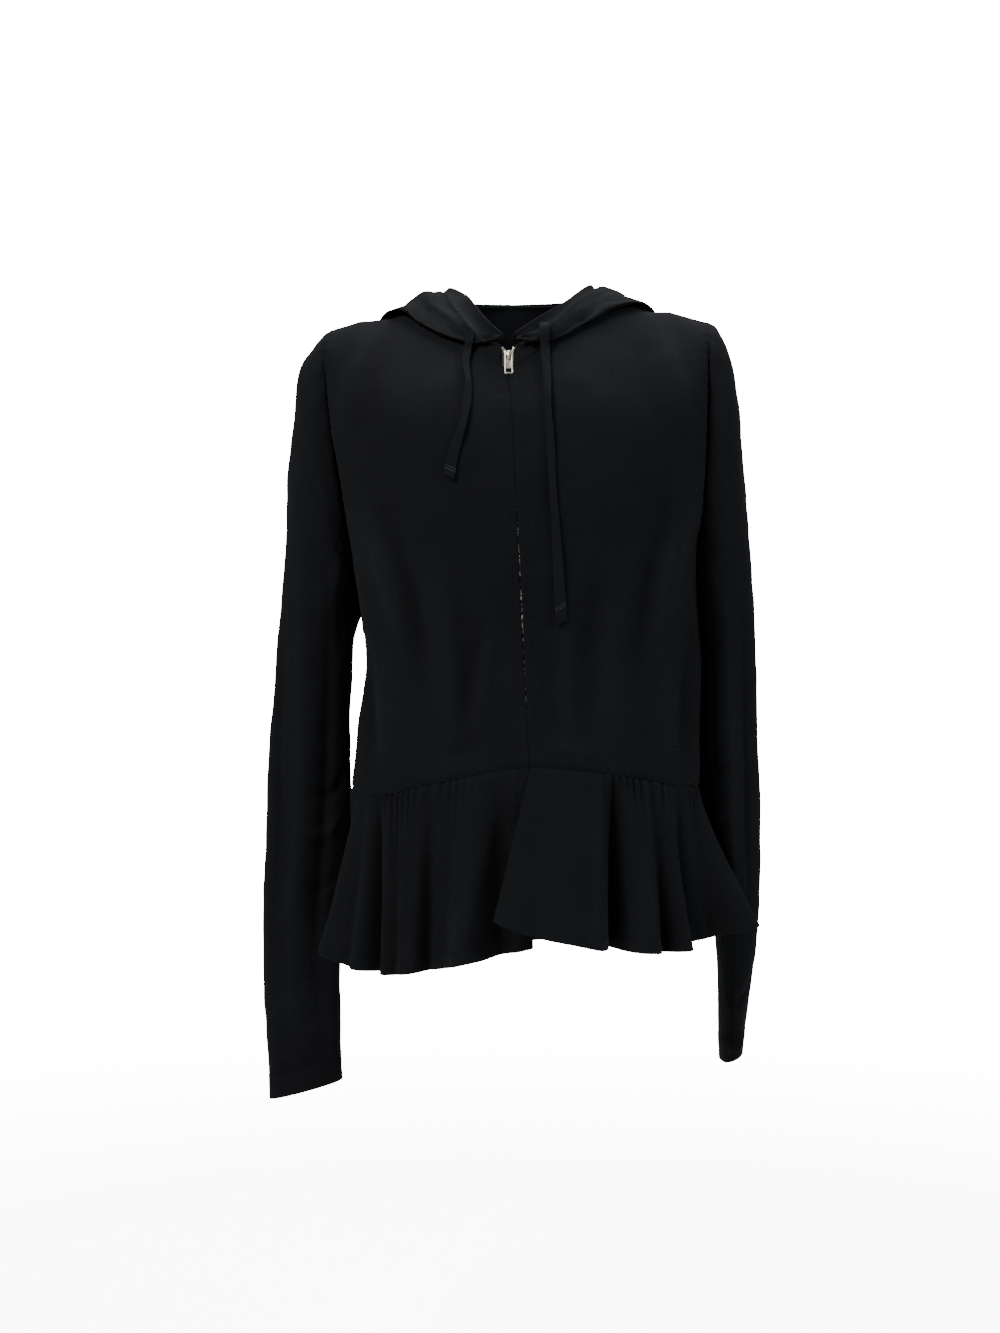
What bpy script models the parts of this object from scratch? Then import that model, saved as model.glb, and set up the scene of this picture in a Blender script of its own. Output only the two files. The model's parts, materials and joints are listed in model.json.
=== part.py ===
"""Zip-up hoodie in light jersey with a gathered peplum, hollow, in its worn pose.

The garment hangs as it does on a wearer: the shoulders carry it, the sleeves hang empty, the hood lies
down the back, the front is zipped and the peplum flares open below the zip.
Metres, +Z up. The front faces -Y, the wearer's left is +X. The origin is the middle of the shoulder
line, where the wearer's shoulders hold the garment.
"""
import math

import bpy
import numpy as np
from mathutils import Matrix

# ---------------------------------------------------------------- driving dimensions
WALL = 0.0012              # cloth wall
GAP = 0.0003               # running clearance between neighbouring pieces
PANEL_SHIFT = 0.0004       # each of front and back stands this far from the side and shoulder seams
LEFT, RIGHT = 1, -1        # the wearer's sides: left is +X

UNDERARM_Z = -0.205        # bottom of both armholes
ZIP_TOP = (-0.0037, -0.025)     # x and z of the zip line at the neck
ZIP_END = (0.0133, -0.366)      # x and z of the zip line at the peplum seam
ARMHOLE_DEPTH = 0.048      # how far the armhole reaches to the front and to the back
SHOULDER_TIP = {RIGHT: (-0.165, 0.0, -0.010), LEFT: (0.170, 0.0, 0.001)}
NECK_POINT = {RIGHT: (-0.074, -0.002, 0.021), LEFT: (0.080, -0.002, 0.028)}
V_POINT = (-0.0037, -0.080, -0.025)       # bottom of the neck's V
NAPE = (0.003, 0.054, 0.031)              # middle of the back neckline
FRONT_COLUMNS, BODY_ROWS = 11, 20       # points across half a panel, and up it
NECK_SHARE = 0.42          # share of a panel's top edge that is neckline; the rest is shoulder seam
YOKE = 0.020               # the cloth lies over the shoulder this far on each side of its seam
YOKE_DROP = 0.005          # and has fallen this much by then, at the neck point

# one row per level of the body below the armholes
BODY_RINGS = [  # z, right side x, left side x, front depth, back depth, squareness
    (-0.396, -0.1385, 0.1625, 0.102, 0.096, 2.3),
    (-0.345, -0.1340, 0.1628, 0.097, 0.089, 2.3),
    (-0.287, -0.128, 0.1632, 0.096, 0.085, 2.3),
    (UNDERARM_Z, -0.137, 0.1590, 0.109, 0.097, 2.4),
]
# the front hem is not level: it rises towards the zip
HEM_LINE = [  # share of the way from the zip to the side seam, right front z, left front z
    (0.00, -0.374, -0.374),
    (0.30, -0.388, -0.382),
    (0.55, -0.399, -0.390),
    (1.00, -0.396, -0.396),
]
# one row per level of the chest, from the underarm to the top of the armhole
CHEST_ROWS = [  # share up the armhole, front y, front z, back y, back z, turn in degrees
    (0.00, -0.109, UNDERARM_Z, 0.097, UNDERARM_Z, 90.0),
    (0.33, -0.116, -0.145, 0.102, -0.135, 68.0),
    (0.66, -0.107, -0.085, 0.093, -0.060, 58.0),
]

# sleeves: one row per ring, from the shoulder to the cuff, as the ring's outer and inner ends
SLEEVE_RINGS = {
    RIGHT: [  # outer x, outer z, inner x, inner z, middle y, depth, squareness
        (-0.1800, -0.026, -0.1400, -0.2080, 0.000, 0.098, 2.2),
        (-0.1896, -0.078, -0.1405, -0.2160, 0.001, 0.096, 2.2),
        (-0.1931, -0.113, -0.1400, -0.2300, 0.002, 0.090, 2.2),
        (-0.1974, -0.200, -0.1392, -0.2640, 0.003, 0.080, 2.2),
        (-0.2030, -0.266, -0.1395, -0.3000, 0.004, 0.070, 2.2),
        (-0.2096, -0.340, -0.1425, -0.3480, 0.005, 0.058, 2.2),
        (-0.2145, -0.450, -0.1470, -0.4470, 0.006, 0.046, 2.2),
        (-0.2166, -0.530, -0.1505, -0.5230, 0.004, 0.040, 2.2),
        (-0.2140, -0.600, -0.1496, -0.5900, 0.002, 0.034, 2.2),
        (-0.2105, -0.667, -0.1479, -0.6500, 0.000, 0.030, 2.2),
    ],
    LEFT: [
        (0.1850, -0.016, 0.1622, -0.2080, 0.000, 0.098, 2.2),
        (0.1960, -0.060, 0.1630, -0.2160, 0.002, 0.096, 2.2),
        (0.1993, -0.097, 0.1640, -0.2300, 0.004, 0.092, 2.2),
        (0.2063, -0.182, 0.1665, -0.2640, 0.008, 0.084, 2.2),
        (0.2110, -0.245, 0.1672, -0.3000, 0.012, 0.080, 2.2),
        (0.2130, -0.339, 0.1682, -0.3600, 0.016, 0.074, 2.2),
        (0.2150, -0.450, 0.1735, -0.4560, 0.019, 0.066, 2.2),
        (0.2140, -0.525, 0.1800, -0.5290, 0.018, 0.062, 2.2),
        (0.2063, -0.582, 0.1815, -0.5860, 0.014, 0.060, 2.2),
        (0.2010, -0.627, 0.1822, -0.6350, 0.011, 0.058, 2.2),
    ],
}
SEAM_STEP = 0.0019         # a sleeve's first ring stands this far out from the armhole's edge

# peplum: how far its folds stand out at the hem; places run from the centre-front edge to the side seam
PEPLUM_LENGTH = {"front_right": 0.138, "front_left": 0.129, "back": 0.138}
PEPLUM_FLARE = 0.007       # how far the whole peplum opens at the hem, less at the side seams
PEPLUM_FOLDS = {
    "front_right": [  # place, width, outward, sideways (all at the hem)
        (0.03, 0.06, 0.004, 0.004),
        (0.17, 0.07, 0.030, 0.000),
        (0.39, 0.06, 0.007, 0.000),
        (0.72, 0.10, 0.040, -0.006),
    ],
    "front_left": [
        (0.02, 0.08, 0.034, -0.032),
        (0.15, 0.07, 0.046, -0.012),
        (0.38, 0.06, 0.024, 0.000),
        (0.52, 0.05, 0.026, 0.000),
        (0.79, 0.08, 0.046, 0.018),
    ],
    "back": [
        (0.15, 0.05, 0.028, 0.000),
        (0.29, 0.05, 0.012, 0.000),
        (0.42, 0.05, 0.036, 0.000),
        (0.55, 0.05, 0.016, 0.000),
        (0.68, 0.05, 0.036, 0.000),
        (0.79, 0.04, 0.014, 0.000),
        (0.87, 0.04, 0.022, 0.000),
    ],
}

# hood: the lines that its cloth is lofted through, each from the zip's top to the middle of the back
HOOD_LINES = {
    LEFT: {
        "fall": [  # share of the neckline, x, y, z
            (0.00, 0.0022, -0.0830, -0.0222),
            (0.16, 0.037, -0.072, -0.020),
            (0.32, 0.068, -0.050, -0.002),
            (0.48, 0.112, -0.016, 0.016),
            (0.64, 0.128, 0.054, -0.048),
            (0.82, 0.084, 0.102, -0.140),
            (1.00, 0.003, 0.104, -0.168),
        ],
        "ridge": [
            (0.00, 0.0012, -0.0835, -0.0192),
            (0.16, 0.032, -0.072, -0.008),
            (0.32, 0.057, -0.046, 0.018),
            (0.48, 0.084, -0.004, 0.040),
            (0.64, 0.094, 0.045, 0.036),
            (0.82, 0.062, 0.096, 0.020),
            (1.00, 0.003, 0.118, 0.006),
        ],
        "valley": [
            (0.00, 0.0004, -0.0825, -0.0163),
            (0.16, 0.029, -0.066, -0.006),
            (0.32, 0.052, -0.040, 0.016),
            (0.48, 0.074, -0.002, 0.030),
            (0.64, 0.080, 0.040, 0.022),
            (0.82, 0.052, 0.082, 0.004),
            (1.00, 0.003, 0.100, -0.012),
        ],
        "edge": [
            (0.00, -0.0004, -0.0810, -0.0125),
            (0.16, 0.026, -0.060, 0.000),
            (0.32, 0.047, -0.034, 0.020),
            (0.48, 0.063, 0.000, 0.038),
            (0.64, 0.066, 0.036, 0.032),
            (0.82, 0.042, 0.070, 0.016),
            (1.00, 0.003, 0.084, 0.002),
        ],
    },
    RIGHT: {
        "fall": [
            (0.00, -0.0096, -0.0830, -0.0222),
            (0.16, -0.042, -0.070, -0.022),
            (0.32, -0.076, -0.046, -0.004),
            (0.48, -0.104, -0.012, 0.012),
            (0.64, -0.120, 0.054, -0.052),
            (0.82, -0.078, 0.102, -0.142),
            (1.00, 0.003, 0.104, -0.168),
        ],
        "ridge": [
            (0.00, -0.0086, -0.0835, -0.0192),
            (0.16, -0.040, -0.068, -0.012),
            (0.32, -0.066, -0.040, 0.014),
            (0.48, -0.080, -0.004, 0.032),
            (0.64, -0.088, 0.045, 0.030),
            (0.82, -0.058, 0.096, 0.016),
            (1.00, 0.003, 0.118, 0.006),
        ],
        "valley": [
            (0.00, -0.0078, -0.0825, -0.0163),
            (0.16, -0.033, -0.068, -0.010),
            (0.32, -0.057, -0.038, 0.012),
            (0.48, -0.066, -0.002, 0.027),
            (0.64, -0.070, 0.040, 0.018),
            (0.82, -0.048, 0.082, 0.002),
            (1.00, 0.003, 0.100, -0.012),
        ],
        "edge": [
            (0.00, -0.0070, -0.0810, -0.0125),
            (0.16, -0.019, -0.066, -0.010),
            (0.32, -0.040, -0.036, 0.022),
            (0.48, -0.050, 0.000, 0.034),
            (0.64, -0.052, 0.036, 0.028),
            (0.82, -0.034, 0.070, 0.014),
            (1.00, 0.003, 0.084, 0.002),
        ],
    },
}
HOOD_SWELL = 0.026         # the pouch's depth at the middle of the back
HOOD_LIFT = 0.0075         # the hood's cloth clears the body's by this, middle to middle

# zip
CHAIN = {"width": 0.0044, "thick": 0.0014}
TAPE = {"width": 0.0095, "thick": 0.0010}
PLACKET_OPEN = 0.0015      # each front's edge stands this far from the zip's middle line
SLIDER_OPEN = 0.0066       # and this far at the slider
SLIDER = {"width": 0.0084, "height": 0.0105, "plate": 0.0011, "inside": 0.0028}
TAB = {"width": 0.0073, "length": 0.0160, "thick": 0.0010, "eye": 0.0058, "arm": 0.0016}
TAB_HOLE = {"width": 0.0034, "height": 0.0026, "up": 0.0016}
ZIP_BEHIND = WALL / 2 + GAP + CHAIN["thick"] / 2      # from the fronts' middle surface to the zip's
ZIP_BOX = (0.0046, 0.0026, 0.0060)
ZIP_STOP = (0.0016, 0.0012, 0.0040)
SLIDER_LOW = -0.044        # below this height the tapes run straight down
SLIDER_RUN = 0.012         # the fronts part over this height, up to the slider
ZIP_MARGIN = (0.006, 0.008)     # the tapes start this far under the zip's top and end above its foot
TAPE_HEAD = 0.004          # the tapes stand this far above the slider's line, with the stops on them
TAPE_SPREAD = 0.0014       # and this far apart there
SLIDER_SEAT = 0.0045       # half the height over which the slider takes the fronts' slope
STOP_OUT, STOP_TURN = 0.0047, 0.30    # each top stop's distance from the middle, and its lean
BRIDGE = {"width": 0.0020, "length": 0.0072, "bar": 0.0009, "inside": 0.0024}

# drawcords: each free end hangs down the front from the casing
CORD_RADIUS = 0.0022
CORD_REACH = 0.006         # a cord lies on the highest cloth within this distance of its middle
CORDS = {
    "drawcord_right": [  # x, z down its route
        (-0.0340, -0.013), (-0.0368, -0.026), (-0.0385, -0.040), (-0.0362, -0.058), (-0.0372, -0.074),
        (-0.0390, -0.088), (-0.0425, -0.101), (-0.0475, -0.118), (-0.0520, -0.138),
    ],
    "drawcord_left": [
        (0.0262, -0.0050), (0.0268, -0.022), (0.0276, -0.040), (0.0284, -0.062), (0.0300, -0.090),
        (0.0312, -0.118), (0.0326, -0.148), (0.0348, -0.178), (0.0366, -0.205), (0.0384, -0.232),
        (0.0400, -0.256),
    ],
}

CLOTH_COLOUR = (0.0056, 0.0060, 0.0070, 1.0)
METAL_COLOUR = (0.62, 0.58, 0.50, 1.0)


# ---------------------------------------------------------------- curves and lofts
def spline(knots, values, at):
    """Smooth curve through values at knots: Catmull-Rom with one-sided ends."""
    knots = np.asarray(knots, float)
    values = np.asarray(values, float)
    at = np.clip(np.asarray(at, float), knots[0], knots[-1])
    slopes = np.gradient(values, knots, axis=0)
    i = np.clip(np.searchsorted(knots, at, side="right") - 1, 0, len(knots) - 2)
    span = knots[i + 1] - knots[i]
    f = (at - knots[i]) / span
    shape = (-1,) + (1,) * (values.ndim - 1)
    f, span = f.reshape(shape), span.reshape(shape)
    rise = (2 * f**3 - 3 * f**2 + 1) * values[i] + (3 * f**2 - 2 * f**3) * values[i + 1]
    bend = (f**3 - 2 * f**2 + f) * slopes[i] + (f**3 - f**2) * slopes[i + 1]
    return rise + bend * span


def through(points, count):
    """count points at even distances on a smooth curve through points."""
    points = np.asarray(points, float)
    steps = np.linalg.norm(np.diff(points, axis=0), axis=1)
    knots = np.concatenate([[0.0], np.cumsum(steps)])
    fine = spline(knots, points, np.linspace(0, knots[-1], 20 * len(points)))
    run = np.concatenate([[0.0], np.cumsum(np.linalg.norm(np.diff(fine, axis=0), axis=1))])
    even = np.linspace(0, run[-1], count)
    return np.column_stack([np.interp(even, run, fine[:, k]) for k in range(3)])


def power(value, square):
    """A superellipse's sine or cosine: rounder than a circle's where square is over 2."""
    return math.copysign(abs(value) ** (2.0 / square), value)


def zip_x(z):
    """The zip line leans a little: its x at height z."""
    share = (z - ZIP_TOP[1]) / (ZIP_END[1] - ZIP_TOP[1])
    return ZIP_TOP[0] + (ZIP_END[0] - ZIP_TOP[0]) * share


# ---------------------------------------------------------------- body panels
def armhole(side, angle, forward):
    """A point of the armhole's edge: angle 0 at the shoulder tip, pi at the underarm."""
    tip = np.array(SHOULDER_TIP[side])
    ring = BODY_RINGS[-1]
    pit = np.array((ring[2] if side == LEFT else ring[1], 0.0, UNDERARM_Z))
    point = (tip + pit) / 2 + (tip - pit) / 2 * math.cos(angle)
    point[1] += (-1 if forward else 1) * ARMHOLE_DEPTH * math.sin(angle)
    return point


def arc(centre, side_point, share, turn, square):
    """A row across half a panel, from the centre line to the panel's side edge."""
    angle = share * math.radians(turn)
    end = math.radians(turn)
    across = power(math.sin(angle), square) / power(math.sin(end), square)
    low = power(math.cos(end), square) if turn < 89.9 else 0.0
    inward = (power(max(math.cos(angle), 0.0), square) - low) / (1 - low)
    x = centre[0] + (side_point[0] - centre[0]) * across
    y = side_point[1] + (centre[1] - side_point[1]) * inward
    z = centre[2] + (side_point[2] - centre[2]) * share
    return np.array((x, y, z))


def top_edge(side, share, forward):
    """A point of a panel's top edge: the neckline, then the shoulder seam."""
    start = np.array(V_POINT if forward else NAPE)
    neck = np.array(NECK_POINT[side])
    tip = np.array(SHOULDER_TIP[side])
    if share < NECK_SHARE:
        f = share / NECK_SHARE
        bow = math.sin(f * math.pi / 2)
        rise = 1 - math.cos(f * math.pi / 2)
        if forward:
            return start + (neck - start) * np.array((f**0.85, f**1.25, f))
        return start + (neck - start) * np.array((bow, rise, rise))
    f = (share - NECK_SHARE) / (1 - NECK_SHARE)
    return neck + (tip - neck) * f


def yoke_edge(side, share, forward):
    """The row where the cloth has come down from the shoulder seam by the yoke's width."""
    top = top_edge(side, share, forward)
    sign = -1 if forward else 1
    angle = math.asin(YOKE / ARMHOLE_DEPTH)
    drop_tip = SHOULDER_TIP[side][2] - armhole(side, angle, forward)[2]
    shift_tip = armhole(side, angle, forward)[0] - SHOULDER_TIP[side][0]
    f = max(0.0, (share - NECK_SHARE) / (1 - NECK_SHARE))
    in_neck = max(0.0, 1 - share / NECK_SHARE)
    out = YOKE * (1 - 0.72 * in_neck)
    drop = YOKE_DROP + (drop_tip - YOKE_DROP) * f + 0.016 * in_neck
    return top + np.array((shift_tip * f, sign * out, -drop))


def panel_rows(side, shares, forward):
    """The panel's key rows, hem to top, each with a point for every share across."""
    rows = []
    hem_shares = [row[0] for row in HEM_LINE]
    hem_heights = [row[1 if side == RIGHT else 2] for row in HEM_LINE]
    middle = zip_x if forward else (lambda z: NAPE[0] + 0.010 * min(1.0, -z / 0.2))
    for number, (z, right, left, front, back, square) in enumerate(BODY_RINGS[:-1]):
        row = []
        for share in shares:
            level = z
            if number == 0 and forward:
                level = float(spline(hem_shares, hem_heights, [share])[0])
            centre = (middle(level), -front if forward else back, level)
            row.append(arc(centre, (left if side == LEFT else right, 0.0, level), share, 90, square))
        rows.append(row)
    for up, front_y, front_z, back_y, back_z, turn in CHEST_ROWS:
        z = front_z if forward else back_z
        centre = (middle(z), front_y if forward else back_y, z)
        edge = armhole(side, math.pi * (1 - up), forward)
        rows.append([arc(centre, edge, share, turn, 2.4) for share in shares])
    rows.append([yoke_edge(side, share, forward) for share in shares])
    rows.append([top_edge(side, share, forward) for share in shares])
    return np.array(rows)


ROW_KNOTS = [0.0, 0.13, 0.28, 0.48, 0.64, 0.80, 0.94, 1.0]   # share of the panel's height of each row


def panel(side, shares, heights, forward):
    """Points of a body panel's middle surface: [height][share][xyz]."""
    points = spline(ROW_KNOTS, panel_rows(side, shares, forward), heights)
    depth = points[..., 1]
    if forward:
        points[..., 1] = np.minimum(depth, 0.0) - PANEL_SHIFT
    else:
        points[..., 1] = np.maximum(depth, 0.0) + PANEL_SHIFT
    return points


def even(count, low=0.0, high=1.0):
    return np.linspace(low, high, count)


def front_points(side):
    """A front: its zip edge stands clear of the zip, and wider at the slider."""
    points = panel(side, even(FRONT_COLUMNS), even(BODY_ROWS), True)
    fade = np.clip(1 - even(FRONT_COLUMNS) / 0.25, 0, 1)
    for row in points:
        z = row[0][2]
        wide = np.clip((z - SLIDER_LOW) / SLIDER_RUN + 1, 0, 1)
        clear = PLACKET_OPEN + (SLIDER_OPEN - PLACKET_OPEN) * wide * wide * (3 - 2 * wide)
        row[:, 0] += side * clear * fade
    return points


def back_points():
    """The back, in one piece from side seam to side seam."""
    left = panel(LEFT, even(FRONT_COLUMNS), even(BODY_ROWS), False)
    right = panel(RIGHT, even(FRONT_COLUMNS), even(BODY_ROWS), False)
    return np.concatenate([right[:, :0:-1], left], axis=1)


# ---------------------------------------------------------------- clearance over the body
def surface_normals(points):
    across = np.gradient(points, axis=1)
    along = np.gradient(points, axis=0)
    normals = np.cross(across, along)
    length = np.linalg.norm(normals, axis=2, keepdims=True)
    return normals / np.maximum(length, 1e-12)


def body_samples():
    """Points of the body's surface with their outward directions."""
    places, outward = [], []
    for side in (RIGHT, LEFT):
        for forward in (True, False):
            points = panel(side, even(33), even(61), forward)
            normals = surface_normals(points)
            ahead = np.sign(np.mean(normals[10:40, :8, 1]))
            normals *= -ahead if forward else ahead
            places.append(points.reshape(-1, 3))
            outward.append(normals.reshape(-1, 3))
    return np.concatenate(places), np.concatenate(outward)


def lifted(points, samples, clearance):
    """Moves points out until each is clearance away from the sampled surface."""
    places, outward = samples
    result = np.array(points, float)
    flat = result.reshape(-1, 3)
    for _ in range(3):
        for i, point in enumerate(flat):
            offsets = places - point
            near = int(np.argmin(np.einsum("ij,ij->i", offsets, offsets)))
            height = float(np.dot(point - places[near], outward[near]))
            if height < clearance:
                flat[i] = point + outward[near] * (clearance - height)
    return result


# ---------------------------------------------------------------- sleeves
def armhole_ring(side, angles):
    """The edge that the front and the back leave for a sleeve, moved out by the seam's step."""
    tip_z = SHOULDER_TIP[side][2]
    middle, reach = (tip_z + UNDERARM_Z) / 2, (tip_z - UNDERARM_Z) / 2
    edges = {}
    for forward in (True, False):
        column = panel(side, even(FRONT_COLUMNS), even(BODY_ROWS), forward)[:, -1]
        column = column[column[:, 2] > UNDERARM_Z - 0.004]
        turn = np.arccos(np.clip((column[:, 2] - middle) / reach, -1, 1))
        order = np.argsort(turn)
        edges[forward] = (turn[order], column[order])
    ring = []
    for angle in angles:
        forward = angle <= math.pi
        turn, column = edges[forward]
        at = angle if forward else 2 * math.pi - angle
        point = np.array([np.interp(at, turn, column[:, k]) for k in range(3)])
        ring.append(point + np.array((side * SEAM_STEP, 0.0, 0.0)))
    return ring


def sleeve_points(side, around, along):
    """Rings from the armhole's edge to the cuff: [ring][around][xyz]."""
    angles = even(around + 1, 0.0, 2 * math.pi)[:-1]
    rings = [armhole_ring(side, angles)]
    for out_x, out_z, in_x, in_z, mid_y, depth, square in SLEEVE_RINGS[side]:
        outer = np.array((out_x, mid_y, out_z))
        inner = np.array((in_x, mid_y, in_z))
        ring = []
        for angle in angles:
            point = (outer + inner) / 2 + (outer - inner) / 2 * power(math.cos(angle), square)
            point[1] -= depth / 2 * power(math.sin(angle), square)
            ring.append(point)
        rings.append(ring)
    rings = np.array(rings)
    middles = rings.mean(axis=1)
    knots = np.concatenate([[0.0], np.cumsum(np.linalg.norm(np.diff(middles, axis=0), axis=1))])
    return spline(knots, rings, even(along, 0.0, knots[-1]))


# ---------------------------------------------------------------- peplum
def waist_point(name, share):
    """A point of the peplum's top edge, under the body's hem, with its outward direction."""
    if name == "back":
        side = RIGHT if share < 0.5 else LEFT
        across = abs(2 * share - 1)
        forward = False
    else:
        side = LEFT if name == "front_left" else RIGHT
        across = share
        forward = True
    row = panel_rows(side, [across, min(across + 0.01, 1.0), max(across - 0.01, 0.0)], forward)[0]
    tangent = row[1] - row[2]
    outward = np.array((tangent[1], -tangent[0], 0.0)) * side * (1 if forward else -1)
    outward /= np.linalg.norm(outward)
    point = row[0].copy()
    point[1] += -PANEL_SHIFT if forward else PANEL_SHIFT
    return point, outward


def peplum_points(name, columns, rows):
    """The gathered flounce: folds open out from the seam to the hem."""
    folds = PEPLUM_FOLDS[name]
    length = PEPLUM_LENGTH[name]
    grid = np.zeros((rows, columns, 3))
    for j, share in enumerate(even(columns)):
        seam, outward = waist_point(name, share)
        at_side = (2 * share - 1) ** 8 if name == "back" else share ** 6
        out = PEPLUM_FLARE * (1 - at_side)
        out += sum(f[2] * math.exp(-(((share - f[0]) / f[1]) ** 2)) for f in folds)
        sideways = sum(f[3] * math.exp(-(((share - f[0]) / f[1]) ** 2)) for f in folds)
        if name != "back" and share < 0.02:
            seam = seam + np.array(((1 if name == "front_left" else -1) * PLACKET_OPEN, 0, 0))
        for i, down in enumerate(even(rows)):
            open_out = down ** 1.15
            point = seam + outward * out * open_out
            point[0] += sideways * down ** 1.05
            point[2] -= GAP * 1.5 + length * down
            grid[i, j] = point
    return grid


# ---------------------------------------------------------------- hood
def hood_points(side, across, along, samples):
    """The hood lying down: a loft from the neck seam over its folds to the face edge."""
    lines = HOOD_LINES[side]
    shares = even(along)
    seam = []
    for share in shares:
        forward = share < 0.5
        place = 2 * share * NECK_SHARE if forward else (2 - 2 * share) * NECK_SHARE
        point = top_edge(side, min(place, NECK_SHARE * 0.999), forward)
        if forward:
            point = point + np.array((side * SLIDER_OPEN * max(0.0, 1 - place / 0.25), 0.0, 0.0))
        seam.append(point + np.array((0, 0, WALL)))
    seam = lifted(np.array([seam]), samples, WALL + GAP * 4)[0]
    paths = {}
    for name, rows in lines.items():
        mirrored = (2 - rows[-2][0], 2 * NAPE[0] - rows[-2][1], rows[-2][2], rows[-2][3])
        table = np.array(rows + [mirrored])
        paths[name] = spline(table[:, 0], table[:, 1:], shares)
    rows = []
    for i, share in enumerate(shares):
        fall, ridge = paths["fall"][i], paths["ridge"][i]
        pouch = max(0.0, (share - 0.45) / 0.55) ** 0.7
        swell = np.array((side * 0.010 * math.sin(math.pi * share), HOOD_SWELL * pouch, 0.0))
        inner = seam[i] * 0.5 + fall * 0.5 + np.array((0, 0.012 * pouch, 0.004 * (1 - pouch)))
        outer = fall * 0.45 + ridge * 0.55 + swell
        stops = [seam[i], inner, fall, outer, ridge, paths["valley"][i], paths["edge"][i]]
        rows.append(through(stops, across))
    points = np.array(rows)
    points[:, 1:] = lifted(points[:, 1:], samples, HOOD_LIFT)
    points[-1, :, 0] = NAPE[0]
    points[..., 0] += side * PANEL_SHIFT * 0.6
    return points


# ---------------------------------------------------------------- making objects
def clear_scene():
    for item in list(bpy.data.objects):
        bpy.data.objects.remove(item, do_unlink=True)


def material(name, colour, roughness, metallic):
    made = bpy.data.materials.new(name)
    made.use_nodes = True
    shader = made.node_tree.nodes["Principled BSDF"]
    shader.inputs["Base Color"].default_value = colour
    shader.inputs["Roughness"].default_value = roughness
    shader.inputs["Metallic"].default_value = metallic
    return made


def place(item, collection, finish):
    item.data.materials.clear()
    item.data.materials.append(finish)
    for owner in list(item.users_collection):
        owner.objects.unlink(item)
    collection.objects.link(item)
    return item


def surface(name, points, closed=False):
    """A mesh object over a grid of points; closed joins the last column to the first."""
    rows, columns = points.shape[:2]
    faces = []
    for i in range(rows - 1):
        for j in range(columns if closed else columns - 1):
            k = (j + 1) % columns
            faces.append((i * columns + j, i * columns + k, (i + 1) * columns + k, (i + 1) * columns + j))
    mesh = bpy.data.meshes.new(name)
    mesh.from_pydata([tuple(p) for p in points.reshape(-1, 3)], [], faces)
    mesh.update()
    mesh.shade_smooth()
    return bpy.data.objects.new(name, mesh)


def cloth(name, points, collection, finish, thickness=WALL, closed=False):
    """A wall of cloth: the surface thickened evenly to both sides."""
    item = surface(name, points, closed)
    collection.objects.link(item)
    wall = item.modifiers.new("wall", "SOLIDIFY")
    wall.thickness = thickness
    wall.offset = 0.0
    wall.use_even_offset = False
    return place(item, collection, finish)


def block(name, size, location, collection, finish, bevel=0.0, parent=None, turn=0.0):
    """A box with bevelled edges, turned about Y by turn."""
    bpy.ops.mesh.primitive_cube_add(size=1.0)
    item = bpy.context.object
    item.name = name
    item.data.name = name
    item.data.transform(Matrix.Diagonal((*size, 1.0)))
    item.location = location
    item.rotation_euler = (0.0, turn, 0.0)
    if parent:
        item.parent = parent
    if bevel:
        edges = item.modifiers.new("edges", "BEVEL")
        edges.width = bevel
        edges.segments = 1
    return place(item, collection, finish)


def joined(item, cutter, operation, cutters):
    """Adds or cuts cutter from item, and hides the cutter."""
    for owner in list(cutter.users_collection):
        owner.objects.unlink(cutter)
    cutters.objects.link(cutter)
    cutter.hide_render = True
    cutter.display_type = "WIRE"
    step = item.modifiers.new(operation.lower(), "BOOLEAN")
    step.operation = operation
    step.object = cutter


# ---------------------------------------------------------------- zip
def placket_point(row, x):
    """The point of a front's row at x; beyond its zip edge the row runs on level."""
    row = row[np.argsort(row[:, 0])]
    return np.array((x, np.interp(x, row[:, 0], row[:, 1]), np.interp(x, row[:, 0], row[:, 2])))


def zip_strip(name, side, low, high, depth, thick, top, bottom, collection, finish, spread=0.0):
    """A strip behind a front, from low to high out from the zip's middle line."""
    rows = front_points(side)
    heights = rows[:, 0, 2]
    inside = heights[(heights > bottom + 0.001) & (heights < top - 0.001)]
    points = []
    for z in np.concatenate([[bottom], inside, [top]]):
        upper = int(np.clip(np.searchsorted(heights, z), 1, len(heights) - 1))
        f = (z - heights[upper - 1]) / (heights[upper] - heights[upper - 1])
        row = rows[upper - 1] * (1 - f) + rows[upper] * f
        wide = float(np.clip((z - SLIDER_LOW) / SLIDER_RUN, 0, 1))
        points.append([placket_point(row, zip_x(z) + side * (out + spread * wide)) for out in (low, high)])
    points = np.array(points)
    inward = surface_normals(points)
    inward *= np.sign(inward[..., 1:2])
    return cloth(name, points + inward * depth, collection, finish, thickness=thick)


def centre_line(heights):
    """The zip's middle line, level with the fronts' middle surface."""
    line = front_points(LEFT)[:, 0]
    y = np.interp(heights, line[:, 2], line[:, 1])
    return np.column_stack([[zip_x(z) for z in heights], y, heights])


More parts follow.
